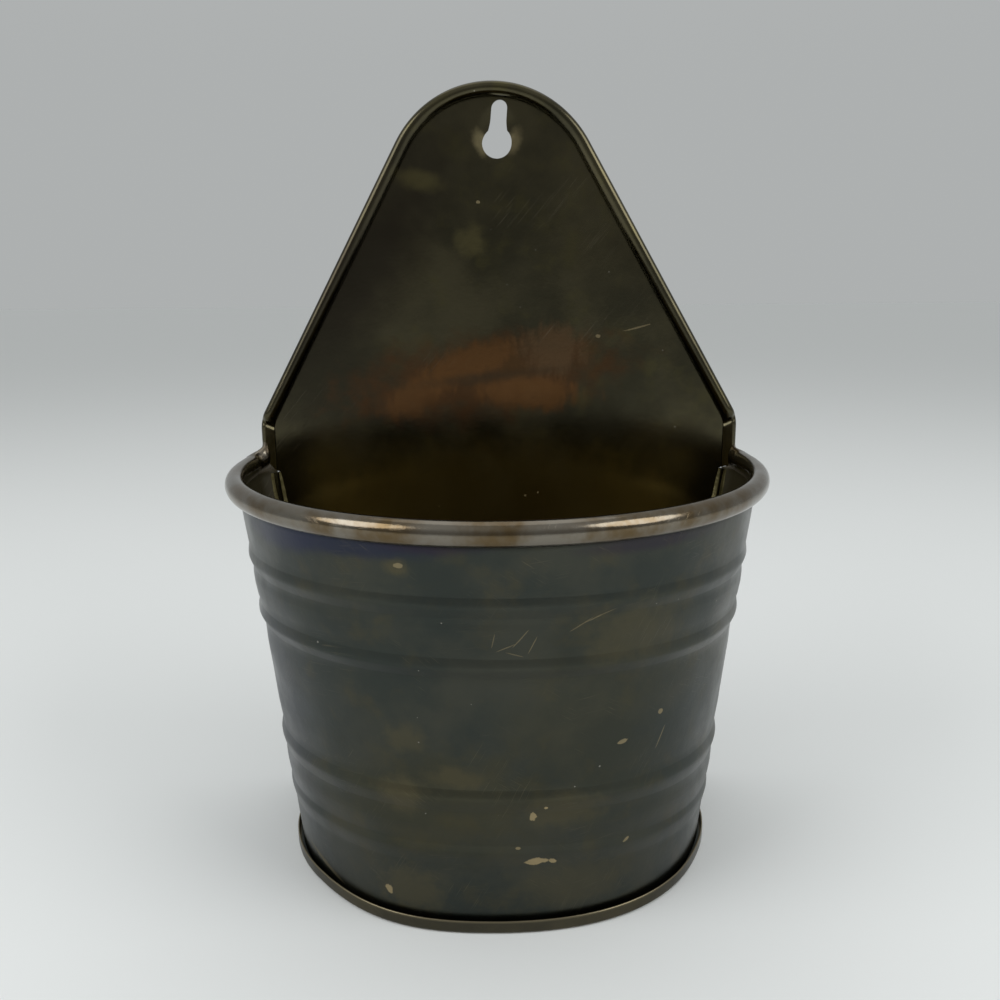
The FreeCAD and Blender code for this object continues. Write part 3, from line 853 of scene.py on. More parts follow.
def makeFlatPlate(points, material):
    # the arched flat with its keyhole and dimple
    outline = plateOutline(points)
    hole = keyholeOutline()
    spots = [Vector(spot) for spot in outline + hole]
    edges = [(index, (index + 1) % len(outline)) for index in range(len(outline))]
    first = len(outline)
    edges += [(first + index, first + (index + 1) % len(hole)) for index in range(len(hole))]
    centreX, centreZ = keyhole["centre"]
    dimple = (centreX, centreZ + keyhole["dimpleCentre"])

    def nearDimple(x, z):
        return math.dist((x, z), dimple) < 11

    for spacing, wanted in ((plate["spacing"], False), (plate["dimpleSpacing"], True)):
        for line in range(int(250 / (spacing * 0.87))):
            z = line * spacing * 0.87
            for place in range(int(180 / spacing)):
                x = -90 + (place + 0.5 * (line % 2)) * spacing
                if nearDimple(x, z) != wanted or not insideLoop(x, z, outline) or insideLoop(x, z, hole):
                    continue
                if distanceToLoop(x, z, outline) > spacing * 0.6 and distanceToLoop(x, z, hole) > spacing * 0.6:
                    spots.append(Vector((x, z)))
    flat, flatEdges, triangles = delaunay_2d_cdt(spots, edges, [], 1, 1e-4)[:3]
    triangles = [face for face in triangles if not insideLoop(
        sum(flat[index].x for index in face) / 3, sum(flat[index].y for index in face) / 3, hole)]
    work = bmesh.new()
    layer = work.verts.layers.float.new("outside")
    fronts = []
    backs = []
    for spot in flat:
        edgeDistance = distanceToLoop(spot.x, spot.y, outline)
        depth = plateFront(spot.x, spot.y, edgeDistance)
        backs.append(work.verts.new((spot.x, backPlane - depth, spot.y)))
        fronts.append(work.verts.new((spot.x, backPlane - depth - sheetThickness, spot.y)))
    for face in triangles:
        work.faces.new([backs[index] for index in face])
        work.faces.new([fronts[index] for index in reversed(face)])
    sides = [edge for edge in work.edges if len(edge.link_faces) == 1]
    pairs = {}
    for back, front in zip(backs, fronts):
        pairs[back] = front
    for edge in sides:
        a, b = edge.verts
        if a in pairs and b in pairs:
            work.faces.new([a, b, pairs[b], pairs[a]])
    for front in fronts:
        front[layer] = 1.0
    bmesh.ops.delete(work, geom=[vert for vert in work.verts if not vert.link_faces], context="VERTS")
    return meshFrom(work, "flatPlate", material, 40)


def makeFlange(side, material):
    # the bend and the flange on one side, as one strip of sheet against the wall
    work = bmesh.new()
    rings = []
    steps = 72
    top = plate["flangeTop"]
    for step in range(steps + 1):
        height = plate["foot"] + (top - plate["foot"]) * step / steps
        wave = 0.3 * noise.noise(Vector((side * 7, 0, height / 9)))
        start = Vector((wallInside(height, 0, side) - plate["clearance"] - plate["flatInset"], 0))
        line = [start, start + Vector((plate["flatInset"] * 0.6, 0.05))]
        for share in (0.12, 0.25, 0.4, 0.55, 0.7, 0.85, 1.0):
            depth = (plate["flangeDepth"] + wave) * share
            line.append(Vector((wallInside(height, depth, side) - plate["clearance"], depth)))
        outer = []
        inner = []
        for index, spot in enumerate(line):
            before = line[max(index - 1, 0)]
            after = line[min(index + 1, len(line) - 1)]
            along = (after - before).normalized()
            across = Vector((-along.y, along.x)) * sheetThickness
            if index == 0:
                across = Vector((0, sheetThickness))
            outer.append(spot)
            inner.append(spot + across)
        rings.append([
            work.verts.new((side * spot.x, backPlane - spot.y, height)) for spot in outer + inner[::-1]])
    count = len(rings[0])
    for below, above in zip(rings, rings[1:]):
        for index in range(count):
            following = (index + 1) % count
            work.faces.new([below[index], below[following], above[following], above[index]])
    for ring in (rings[0], rings[-1]):
        for index in range(count // 2 - 1):
            opposite = count - 1 - index
            work.faces.new([ring[index], ring[index + 1], ring[opposite - 1], ring[opposite]])
    return meshFrom(work, "flange", material, 40)


def makePlate(material, wireMaterial):
    points = edgePoints()
    path = makePath(points)
    tree = makeArchTree()
    roll = runTree("bead", sheetGrid("beadGrid", edgeColumns(points), beadStations()), tree, {
        "Path": path, "Back Plane": backPlane, "Material": material})
    closeAndSmooth(roll.data, 50)
    beadMesh = roll.data
    bpy.data.objects.remove(roll)
    parts = [makeFlatPlate(points, material), beadMesh, makeFlange(-1, material), makeFlange(1, material)]
    piece = joinMeshes("backPlate", parts)
    settle(piece, "backPlate", "root", "plate_metal", "back_plate")

    # the wire lies in the bead as far as the crimped shoulders
    uncrimped = [index for index, point in enumerate(points) if point[2] == 0]
    stations = []
    for step in range(9):
        angle = math.pi * step / 8
        rows = []
        for turn in (angle, -angle):
            across = bead["wireRadius"] * math.sin(turn)
            away = bead["radius"] - bead["wireRadius"] * math.cos(turn)
            rows.append({"across": across, "away": away, "flatAcross": across, "flatAway": away})
        stations.append(tuple(rows))
    wire = runTree("archWire", sheetGrid(
        "wireGrid", edgeColumns(points, uncrimped[0], uncrimped[-1] + 1), stations), tree, {
        "Path": path, "Back Plane": backPlane, "Material": wireMaterial})
    closeAndSmooth(wire.data, 50)
    settle(wire, "archWire", "root", "wire_steel", "arch_wire")
    bpy.data.objects.remove(path)
    return piece


solder = {
    "foot": 1.2,
    "top": 118.2,
    "clearance": 0.06,
    "wallReach": 1.1,            # how far it runs out on the wall in front of the flange
    "plateReachTop": 0.4,        # and on the plate
    "plateReachFoot": 2.6,
}


def makeSolder(side, name, node, material):
    # solder floods the corner, from the plate over the flange to the wall
    work = bmesh.new()
    rings = []
    steps = 150
    for step in range(steps + 1):
        height = solder["foot"] + (solder["top"] - solder["foot"]) * step / steps
        flow = noise.noise(Vector((side * 11, height / 7, 0))) + 0.5 * noise.noise(Vector((side * 5, height / 2.5, 4)))
        flow = max(-1, min(1, flow))
        lower = min(1, (solder["top"] - height) / 30)
        flange = plate["flangeDepth"] + 0.35
        front = flange + solder["wallReach"] * (0.25 + 0.95 * lower) * (1 + 0.3 * flow)
        plateReach = solder["plateReachTop"] + (solder["plateReachFoot"] - solder["plateReachTop"]) * lower
        plateReach *= 1 + 0.3 * flow
        gap = solder["clearance"]
        onFlange = sheetThickness + gap + 0.05
        corner = wallInside(height, 0, side) - onFlange
        skin = sheetThickness + 0.08
        spots = [
            (wallInside(height, front, side) - gap, front),
            (wallInside(height, flange, side) - gap, flange),
            (wallInside(height, flange - 0.1, side) - onFlange, flange - 0.1),
            (wallInside(height, 2.0, side) - onFlange, 2.0),
            (corner - 0.1, skin),
            (corner - plateReach, skin),
        ]
        bowl = (corner - 0.25 - 0.1 * flow, 1.0 + 0.12 * flow)
        low = spots[-1]
        high = spots[0]
        for share in (0.2, 0.4, 0.6, 0.8):
            spots.append(tuple(
                low[axis] * (1 - share) ** 2 + 2 * bowl[axis] * share * (1 - share) + high[axis] * share ** 2
                for axis in (0, 1)))
        rings.append([work.verts.new((side * x, backPlane - depth, height)) for x, depth in spots])
    count = len(rings[0])
    for below, above in zip(rings, rings[1:]):
        for index in range(count):
            following = (index + 1) % count
            work.faces.new([below[index], below[following], above[following], above[index]])
    for ring in (rings[0], rings[-1]):
        work.faces.new(ring)
    piece = bpy.data.objects.new(name, meshFrom(work, name, material, 50))
    scene.collection.objects.link(piece)
    settle(piece, name, "root", "seam_solder", node)


# Shader groups. Places are in millimetres, read from the object's own coordinates.

def makeCloudGroup():
    # soft clouds of one tone over another
    tree, given, out = newGroup("cloud", "ShaderNodeTree", [
        ("Place", vector, None), ("Size", number, 20.0), ("Detail", number, 4.0),
        ("Low", number, 0.4), ("High", number, 0.6), ("Seed", number, 0.0)], [("Mask", number)])
    shifted = vectorCalc(tree, "ADD", given["Place"], combine(tree, given["Seed"] * 97, 0.0, given["Seed"] * 31))
    node = addNode(tree, "ShaderNodeTexNoise", {}, {
        "Vector": shifted, "Scale": 1 / given["Size"], "Detail": given["Detail"], "Roughness": 0.6})
    plug(tree, out.inputs["Mask"], Flow(tree, node.outputs[0]).ease(given["Low"], given["High"]))
    return tree


def makeMarkAndPaintedLightGroup():
    # one ragged oval patch at a place on the front, used for stains, chips, painted reflections and painted highlights
    tree, given, out = newGroup("markAndPaintedLightPatch", "ShaderNodeTree", [
        ("Place", vector, None), ("Across", number, 0.0), ("Up", number, 0.0), ("Half Width", number, 10.0),
        ("Half Height", number, 10.0), ("Tilt", number, 0.0), ("Softness", number, 0.5),
        ("Ragged", number, 0.5), ("Ragged Size", number, 8.0), ("Drawn Out", number, 1.0)], [("Mask", number)])
    x, y, z = separate(given["Place"])
    u = x - given["Across"]
    v = z - given["Up"]
    cosine = given["Tilt"].calc("COSINE")
    sine = given["Tilt"].calc("SINE")
    alongU = (u * cosine + v * sine) / given["Half Width"]
    alongV = (v * cosine - u * sine) / given["Half Height"]
    distance = (alongU * alongU + alongV * alongV).calc("SQRT")
    node = addNode(tree, "ShaderNodeTexNoise", {}, {
        "Vector": combine(tree, x, y, z / given["Drawn Out"]), "Scale": 1 / given["Ragged Size"],
        "Detail": 5.0, "Roughness": 0.6})
    distance = distance + (Flow(tree, node.outputs[0]) - 0.5) * 2 * given["Ragged"]
    plug(tree, out.inputs["Mask"], distance.ease(1 - given["Softness"], 1 + given["Softness"], 1.0, 0.0))
    return tree


def makeScratchGroup():
    # fine lines that run one way, in loose clusters
    tree, given, out = newGroup("fineScratches", "ShaderNodeTree", [
        ("Place", vector, None), ("Angle", number, 0.0), ("Length", number, 14.0), ("Width", number, 0.35),
        ("Amount", number, 0.3), ("Seed", number, 0.0)], [("Mask", number)])
    x, y, z = separate(given["Place"])
    cosine = given["Angle"].calc("COSINE")
    sine = given["Angle"].calc("SINE")
    along = (x * cosine + z * sine) / given["Length"]
    across = (z * cosine - x * sine) / given["Width"]
    node = addNode(tree, "ShaderNodeTexNoise", {}, {
        "Vector": combine(tree, along, across, y / given["Length"] + given["Seed"] * 13), "Scale": 1.0, "Detail": 1.0})
    lines = Flow(tree, node.outputs[0]).ease(0.7 - given["Amount"] * 0.12, 0.76 - given["Amount"] * 0.1)
    cluster = addNode(tree, "ShaderNodeTexNoise", {}, {
        "Vector": vectorCalc(tree, "ADD", given["Place"], combine(tree, given["Seed"] * 40, 0.0, 0.0)),
        "Scale": 1 / (given["Length"] * 2.2), "Detail": 2.0})
    where = Flow(tree, cluster.outputs[0]).ease(0.62 - given["Amount"] * 0.3, 0.74 - given["Amount"] * 0.2)
    plug(tree, out.inputs["Mask"], lines * where)
    return tree


def makeSpeckGroup():
    # scattered specks of dust or bare metal, each of its own size
    tree, given, out = newGroup("specks", "ShaderNodeTree", [
        ("Place", vector, None), ("Spacing", number, 6.0), ("Size", number, 0.4), ("Chance", number, 0.3),
        ("Seed", number, 0.0)], [("Mask", number)])
    warp = addNode(tree, "ShaderNodeTexNoise", {}, {"Vector": given["Place"], "Scale": 1.3, "Detail": 1.0})
    shaken = vectorCalc(tree, "ADD", given["Place"], vectorCalc(
        tree, "MULTIPLY", Flow(tree, warp.outputs["Color"]), (0.5, 0.5, 0.5)))
    shaken = vectorCalc(tree, "ADD", shaken, combine(tree, given["Seed"] * 57, 0.0, 0.0))
    cells = addNode(tree, "ShaderNodeTexVoronoi", {}, {"Vector": shaken, "Scale": 1 / given["Spacing"]})
    red, green, blue = separate(Flow(tree, cells.outputs["Color"]))
    distance = Flow(tree, cells.outputs["Distance"]) * given["Spacing"]
    size = given["Size"] * (0.35 + green)
    speck = (distance / size).ease(0.75, 1.05, 1.0, 0.0)
    plug(tree, out.inputs["Mask"], speck * red.calc("LESS_THAN", given["Chance"]))
    return tree


def makeWearGroup():
    # rubbed metal along an edge
    tree, given, out = newGroup("edgeWear", "ShaderNodeTree", [
        ("Place", vector, None), ("Edge", number, 0.0), ("Size", number, 4.0), ("Amount", number, 0.5)],
        [("Mask", number)])
    node = addNode(tree, "ShaderNodeTexNoise", {}, {
        "Vector": given["Place"], "Scale": 1 / given["Size"], "Detail": 4.0})
    rubbed = (Flow(tree, node.outputs[0]) + given["Amount"] - 0.5).ease(0.35, 0.65)
    plug(tree, out.inputs["Mask"], given["Edge"] * rubbed)
    return tree


cloud = makeCloudGroup()
markAndPaintedLightPatch = makeMarkAndPaintedLightGroup()
fineScratches = makeScratchGroup()
specks = makeSpeckGroup()
edgeWear = makeWearGroup()


def mixColor(tree, factor, under, over):
    node = addNode(tree, "ShaderNodeMix", {"data_type": "RGBA"}, {})
    plug(tree, node.inputs[0], factor)
    plug(tree, node.inputs[6], under)
    plug(tree, node.inputs[7], over)
    return Flow(tree, node.outputs[2])


def objectPlace(tree):
    # the object's own coordinates, in millimetres
    coordinates = tree.nodes.new("ShaderNodeTexCoord")
    return vectorCalc(tree, "MULTIPLY", Flow(tree, coordinates.outputs["Object"]), (1 / millimetre,) * 3)


def attributeMask(tree, name):
    node = tree.nodes.new("ShaderNodeAttribute")
    node.attribute_name = name
    return Flow(tree, node.outputs["Fac"])


def makeBronze(name, look, rimTones=None):
    # aged bronze: clouds of patina, stains with some painted reflections and highlights among them, scratches, specks
    # and worn edges
    material = bpy.data.materials.new(name)
    material.use_nodes = True
    tree = material.node_tree
    shader = tree.nodes["Principled BSDF"]
    place = objectPlace(tree)
    tone = look["tone"]
    color = mixColor(tree, useGroup(tree, cloud, {
        "Place": place, "Size": look["cloudSize"], "Detail": 5.0, "Low": 0.38, "High": 0.64, "Seed": 1.0}, "Mask"),
        tone["dark"], tone["light"])
    color = mixColor(tree, useGroup(tree, cloud, {
        "Place": place, "Size": look["cloudSize"] * 0.35, "Detail": 5.0, "Low": 0.5, "High": 0.72,
        "Seed": 2.0}, "Mask") * look["fleckStrength"], color, tone["fleck"])
    roughness = useGroup(tree, cloud, {
        "Place": place, "Size": look["cloudSize"] * 0.6, "Detail": 5.0, "Low": 0.3, "High": 0.7, "Seed": 3.0},
        "Mask").between(*look["roughness"])
    shown = attributeMask(tree, "outside") if look.get("outsideOnly") else 1.0
    for spot in look["stainsAndPaintedLight"]:
        mask = useGroup(tree, markAndPaintedLightPatch, {
            "Place": place, "Across": spot["at"][0], "Up": spot["at"][1], "Half Width": spot["half"][0],
            "Half Height": spot["half"][1], "Tilt": math.radians(spot.get("tilt", 0)),
            "Softness": spot.get("soft", 0.6), "Ragged": spot.get("ragged", 0.5),
            "Ragged Size": spot.get("raggedSize", 9.0), "Drawn Out": spot.get("drawnOut", 1.0)}, "Mask") * spot["strength"] * shown
        color = mixColor(tree, mask, color, spot["tone"])
    if "inside" in look:
        outside = attributeMask(tree, "outside")
        gilt = useGroup(tree, cloud, {
            "Place": place, "Size": 16.0, "Detail": 4.0, "Low": 0.3, "High": 0.7, "Seed": 8.0}, "Mask")
        gold = mixColor(tree, gilt, *look["inside"])
        x, y, z = separate(place)
        gold = mixColor(tree, y.ease(-5, 32), gold, look["insideBack"])
        color = mixColor(tree, outside, gold, color)
        roughness = outside.between(0.42, roughness)
        plug(tree, shader.inputs["Metallic"], outside.between(look["insideMetallic"], look["metallic"]))
    else:
        shader.inputs["Metallic"].default_value = look["metallic"]
    if rimTones:
        rim = attributeMask(tree, "roll")
        streak = useGroup(tree, cloud, {
            "Place": place, "Size": 14.0, "Detail": 4.0, "Low": 0.35, "High": 0.65, "Seed": 6.0}, "Mask")
        color = mixColor(tree, rim, color, mixColor(tree, streak, *rimTones))
        roughness = rim.between(roughness, 0.16)
    relief = useGroup(tree, cloud, {
        "Place": place, "Size": look["grainSize"], "Detail": 3.0, "Low": 0.2, "High": 0.8}, "Mask") * look["grainDepth"]
    for lines in look["scratches"]:
        mask = useGroup(tree, fineScratches, {
            "Place": place, "Angle": math.radians(lines["angle"]), "Length": lines["length"],
            "Width": lines["width"], "Amount": lines["amount"], "Seed": lines["seed"]}, "Mask")
        color = mixColor(tree, mask * lines["strength"], color, tone["bare"])
        relief = relief - mask * 0.01
    for chip in look["chips"]:
        mask = useGroup(tree, markAndPaintedLightPatch, {
            "Place": place, "Across": chip["at"][0], "Up": chip["at"][1], "Half Width": chip["half"][0],
            "Half Height": chip["half"][1], "Tilt": math.radians(chip.get("tilt", 0)), "Softness": 0.12,
            "Ragged": chip.get("ragged", 0.45), "Ragged Size": chip.get("raggedSize", 1.6)}, "Mask") * shown
        color = mixColor(tree, mask * chip.get("strength", 1.0), color, look["chipTone"])
        roughness = (mask * chip.get("strength", 1.0)).between(roughness, 0.6)
        relief = relief - mask * 0.03
    dust = useGroup(tree, specks, {
        "Place": place, "Spacing": look["dustSpacing"], "Size": 0.3, "Chance": 0.25, "Seed": 1.0}, "Mask")
    color = mixColor(tree, dust * look["dustStrength"], color, tone["dust"])
    worn = useGroup(tree, edgeWear, {
        "Place": place, "Edge": attributeMask(tree, "edge"), "Size": 3.0, "Amount": look["wear"]}, "Mask")
    color = mixColor(tree, worn, color, tone["bare"])
    plug(tree, shader.inputs["Base Color"], color)
    plug(tree, shader.inputs["Roughness"], roughness)
    bump = addNode(tree, "ShaderNodeBump", {}, {
        "Height": relief, "Distance": millimetre, "Strength": 1.0})
    plug(tree, shader.inputs["Normal"], Flow(tree, bump.outputs[0]))
    return material


def rgb(red, green, blue):
    return (red, green, blue, 1.0)


bareChip = rgb(0.36, 0.29, 0.165)
heatBlue = rgb(0.024, 0.028, 0.054)
heatViolet = rgb(0.032, 0.024, 0.042)
dullBlue = rgb(0.036, 0.044, 0.070)
olive = rgb(0.068, 0.058, 0.026)
paleOlive = rgb(0.092, 0.080, 0.046)

wallLook = {
    "tone": {
        "dark": rgb(0.040, 0.046, 0.041), "light": rgb(0.056, 0.058, 0.047), "fleck": rgb(0.076, 0.066, 0.038),
        "bare": rgb(0.20, 0.17, 0.11), "dust": rgb(0.45, 0.43, 0.38)},
    "cloudSize": 30.0,
    "fleckStrength": 0.4,
    "roughness": (0.28, 0.40),
    "grainSize": 1.6,
    "grainDepth": 0.012,
    "metallic": 1.0,
    "outsideOnly": True,
    "inside": (rgb(0.36, 0.28, 0.105), rgb(0.50, 0.40, 0.17)),
    "insideBack": rgb(0.034, 0.029, 0.014),
    "insideMetallic": 0.35,
    "stainsAndPaintedLight": [
        {"at": (-60, 115), "half": (12, 3.4), "tone": heatBlue, "strength": 0.8},
        {"at": (-40, 116.5), "half": (20, 2.6), "tone": heatBlue, "strength": 0.7},
        {"at": (-17, 118), "half": (12, 1.8), "tone": heatViolet, "strength": 0.6},
        {"at": (39, 116.8), "half": (18, 2.0), "tone": heatViolet, "strength": 0.5},
        {"at": (-72, 50), "half": (14, 40), "tone": dullBlue, "strength": 0.45},
        {"at": (-20, 40), "half": (30, 16), "tone": olive, "strength": 0.35, "ragged": 0.8},
        {"at": (24, 60), "half": (20, 30), "tone": olive, "strength": 0.2, "ragged": 0.9},
        {"at": (-26, 12), "half": (9, 7), "tone": paleOlive, "strength": 0.55, "ragged": 0.9, "raggedSize": 4.0},
        {"at": (-28, 44), "half": (6, 5), "tone": paleOlive, "strength": 0.7, "ragged": 0.9, "raggedSize": 4.0},
        {"at": (-26, 62), "half": (5, 4), "tone": paleOlive, "strength": 0.5, "ragged": 0.9, "raggedSize": 4.0},
        {"at": (-12, 51), "half": (8, 3), "tone": paleOlive, "strength": 0.6, "ragged": 0.9, "raggedSize": 4.0},
        {"at": (20, 14), "half": (16, 7), "tone": paleOlive, "strength": 0.4, "ragged": 1.0, "raggedSize": 5.0},
        {"at": (36, 92), "half": (12, 8), "tone": paleOlive, "strength": 0.5, "ragged": 1.0, "raggedSize": 5.0},
        {"at": (-26, 112), "half": (3, 2), "tone": paleOlive, "strength": 0.7, "ragged": 0.8, "raggedSize": 3.0},
        {"at": (18, 40), "half": (10, 5), "tone": paleOlive, "strength": 0.5, "ragged": 1.0, "raggedSize": 4.0},
    ],
    "scratches": [
        {"angle": 62, "length": 11.0, "width": 0.22, "amount": 0.3, "seed": 1.0, "strength": 0.22},
        {"angle": -35, "length": 7.0, "width": 0.2, "amount": 0.3, "seed": 2.0, "strength": 0.22},
        {"angle": 8, "length": 10.0, "width": 0.22, "amount": 0.3, "seed": 3.0, "strength": 0.2},
    ],
    "chips": [
        {"at": (9.8, 23.6), "half": (2.9, 1.2), "tilt": 4, "ragged": 0.6},
        {"at": (14.4, 23.3), "half": (1.1, 0.8), "tilt": -30, "ragged": 0.6},
        {"at": (8.7, 38.8), "half": (0.9, 1.3), "tilt": -15, "ragged": 0.8, "strength": 0.9},
        {"at": (12.3, 41.4), "half": (0.5, 0.4)},
        {"at": (-32.7, 10.4), "half": (1.1, 1.5), "tilt": 20, "ragged": 0.8, "strength": 0.9},
        {"at": (33.5, 58.6), "half": (1.4, 0.7), "tilt": 12, "strength": 0.6, "ragged": 0.7},
        {"at": (44.9, 64.7), "half": (0.7, 0.8), "strength": 0.6},
        {"at": (35.8, 25.7), "half": (1.0, 0.4), "tilt": 30, "strength": 0.6},
        {"at": (4.6, 28.4), "half": (0.7, 0.4), "strength": 0.6},
        {"at": (-25.5, 112.7), "half": (1.2, 0.7), "strength": 0.5},
        {"at": (-54, 6.4), "half": (7.0, 0.7), "tilt": -22, "strength": 0.35},
        {"at": (5.1, 93.4), "half": (3.2, 0.16), "tilt": 50, "strength": 0.3, "ragged": 0.25},
        {"at": (1.5, 91.0), "half": (2.6, 0.15), "tilt": 24, "strength": 0.3, "ragged": 0.25},
        {"at": (8.2, 91.4), "half": (2.8, 0.15), "tilt": 65, "strength": 0.3, "ragged": 0.25},
        {"at": (3.6, 88.9), "half": (2.4, 0.15), "tilt": -18, "strength": 0.28, "ragged": 0.25},
        {"at": (-1.8, 93.0), "half": (2.0, 0.15), "tilt": 78, "strength": 0.25, "ragged": 0.25},
        {"at": (45.4, 56.3), "half": (3.6, 0.18), "tilt": 68, "strength": 0.35, "ragged": 0.25},
        {"at": (25.8, 98.2), "half": (4.6, 0.16), "tilt": 20, "strength": 0.28, "ragged": 0.25},
        {"at": (21.0, 96.4), "half": (3.6, 0.15), "tilt": 28, "strength": 0.25, "ragged": 0.25},
    ],
    "chipTone": bareChip,
    "dustSpacing": 7.0,
    "dustStrength": 0.5,
    "wear": 0.7,
}

rimLook = (rgb(0.118, 0.084, 0.044), rgb(0.190, 0.172, 0.142))

copper = rgb(0.140, 0.068, 0.026)
dullCopper = rgb(0.092, 0.043, 0.018)
paleCopper = rgb(0.130, 0.080, 0.042)
# painted reflection tone: the gold the plate's front shows below the rim, where it mirrors the bucket's gilt inside
paintedGoldReflection = rgb(0.150, 0.125, 0.060)

plateLook = {
    "tone": {
        "dark": rgb(0.050, 0.046, 0.029), "light": rgb(0.080, 0.071, 0.042), "fleck": rgb(0.092, 0.082, 0.036),
        "bare": rgb(0.20, 0.175, 0.13), "dust": rgb(0.55, 0.52, 0.46)},
    "cloudSize": 34.0,
    "fleckStrength": 0.5,
    "roughness": (0.16, 0.26),
    "grainSize": 2.2,
    "grainDepth": 0.010,
    "metallic": 1.0,
    "outsideOnly": True,
    "stainsAndPaintedLight": [
        {"at": (-46, 186), "half": (13, 46), "tilt": -31, "tone": rgb(0.034, 0.029, 0.021), "strength": 0.9, "soft": 0.8},
        {"at": (-54, 148), "half": (20, 16), "tone": rgb(0.040, 0.036, 0.024), "strength": 0.9, "soft": 0.7},
        {"at": (-4, 151), "half": (42, 13), "tilt": 8, "tone": dullCopper, "strength": 0.8, "soft": 0.5,
         "ragged": 0.8, "raggedSize": 8.0},
        {"at": (-28, 145), "half": (11, 6), "tilt": 35, "tone": copper, "strength": 0.6, "soft": 0.4,
         "ragged": 0.9, "raggedSize": 3.0, "drawnOut": 3.0},
        {"at": (-10, 155.5), "half": (16, 5.5), "tilt": 20, "tone": copper, "strength": 0.8, "soft": 0.4,
         "ragged": 0.9, "raggedSize": 3.0, "drawnOut": 3.0},
        {"at": (11, 146), "half": (18, 5.5), "tilt": -4, "tone": copper, "strength": 0.85, "soft": 0.4,
         "ragged": 0.9, "raggedSize": 3.0, "drawnOut": 3.0},
        {"at": (20, 161), "half": (10, 8), "tone": paleCopper, "strength": 0.75, "soft": 0.4, "ragged": 1.0,
         "raggedSize": 3.0, "drawnOut": 3.0},
        {"at": (-3, 151.2), "half": (20, 1.8), "tilt": 6, "tone": rgb(0.050, 0.038, 0.024), "strength": 0.6,
         "soft": 0.8, "ragged": 0.9, "raggedSize": 4.0},
        # painted reflection: the plate's front below the rim is painted gold to stand for its reflection of the gilt
        # inside
        {"at": (0, 54), "half": (90, 74), "tone": paintedGoldReflection, "strength": 0.8, "soft": 0.12, "ragged": 0.12},
        {"at": (-25, 217), "half": (7, 3.0), "tilt": -12, "tone": rgb(0.115, 0.100, 0.046), "strength": 0.8,
         "raggedSize": 4.0},
        {"at": (-8.5, 197.5), "half": (4.5, 5), "tone": rgb(0.125, 0.110, 0.052), "strength": 0.8, "ragged": 0.9,
         "raggedSize": 4.0},
        # painted highlight: pale patches on each side of the keyhole's round end stand for the lit facets of the dimple
        {"at": (-4.6, 228.6), "half": (2.0, 3.8), "tilt": 20, "tone": rgb(0.34, 0.29, 0.16), "strength": 0.8,
         "raggedSize": 2.5},
        {"at": (6.6, 229.0), "half": (2.0, 3.8), "tilt": -20, "tone": rgb(0.30, 0.25, 0.14), "strength": 0.7,
         "raggedSize": 2.5},
    ],
    "scratches": [
        {"angle": 50, "length": 16.0, "width": 0.25, "amount": 0.3, "seed": 5.0, "strength": 0.35},
    ],
    "chips": [
        {"at": (-5.7, 209.8), "half": (0.6, 0.45), "strength": 0.6},
        {"at": (35.4, 165.1), "half": (0.8, 0.6), "strength": 0.5, "ragged": 0.7},
        {"at": (49.0, 167.9), "half": (4.4, 0.3), "tilt": 14, "strength": 0.4, "ragged": 0.4},
        {"at": (10.0, 109.0), "half": (0.45, 0.4), "strength": 0.6},
        {"at": (14.6, 110.1), "half": (0.35, 0.35), "strength": 0.6},
    ],
    "chipTone": bareChip,
    "dustSpacing": 5.0,
    "dustStrength": 0.7,
    "wear": 0.7,
}

baseLook = {
    **wallLook,
    "tone": {**wallLook["tone"], "dark": rgb(0.060, 0.055, 0.040), "light": rgb(0.085, 0.075, 0.050)},
    "stainsAndPaintedLight": [],
    "chips": [],
    "wear": 0.85,
}


def makeWireMetal():
    material = bpy.data.materials.new("drawnWire")
    material.use_nodes = True
    tree = material.node_tree
    shader = tree.nodes["Principled BSDF"]
    place = objectPlace(tree)
    rust = useGroup(tree, cloud, {"Place": place, "Size": 6.0, "Low": 0.45, "High": 0.7}, "Mask")
    plug(tree, shader.inputs["Base Color"], mixColor(tree, rust, rgb(0.34, 0.33, 0.31), rgb(0.12, 0.08, 0.05)))
    plug(tree, shader.inputs["Roughness"], rust.between(0.35, 0.6))
    shader.inputs["Metallic"].default_value = 1.0
    return material


def makeSolderMetal():
    material = bpy.data.materials.new("softSolder")
    material.use_nodes = True
    tree = material.node_tree
    shader = tree.nodes["Principled BSDF"]
    place = objectPlace(tree)
    dull = useGroup(tree, cloud, {"Place": place, "Size": 5.0, "Low": 0.35, "High": 0.7}, "Mask")
    plug(tree, shader.inputs["Base Color"], mixColor(tree, dull, rgb(0.17, 0.15, 0.075), rgb(0.085, 0.074, 0.032)))
    plug(tree, shader.inputs["Roughness"], dull.between(0.4, 0.55))
    shader.inputs["Metallic"].default_value = 1.0
    lumps = useGroup(tree, cloud, {"Place": place, "Size": 1.4, "Low": 0.2, "High": 0.8, "Seed": 4.0}, "Mask")
    bump = addNode(tree, "ShaderNodeBump", {}, {"Height": lumps * 0.08, "Distance": millimetre, "Strength": 1.0})
    plug(tree, shader.inputs["Normal"], Flow(tree, bump.outputs[0]))
    return material


wallBronze = makeBronze("wallBronze", wallLook, rimLook)
plateBronze = makeBronze("plateBronze", plateLook)
baseBronze = makeBronze("baseBronze", baseLook)
wireMetal = makeWireMetal()
solderMetal = makeSolderMetal()
print("materials made")

makeBucket(wallBronze)
makeBase(baseBronze)
makePlate(plateBronze, wireMetal)
makeSolder(-1, "leftSeamSolder", "left_seam_solder", solderMetal)
makeSolder(1, "rightSeamSolder", "right_seam_solder", solderMetal)
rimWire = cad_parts["rim_wire"]
rimWire.data.materials.clear()
rimWire.data.materials.append(wireMetal)

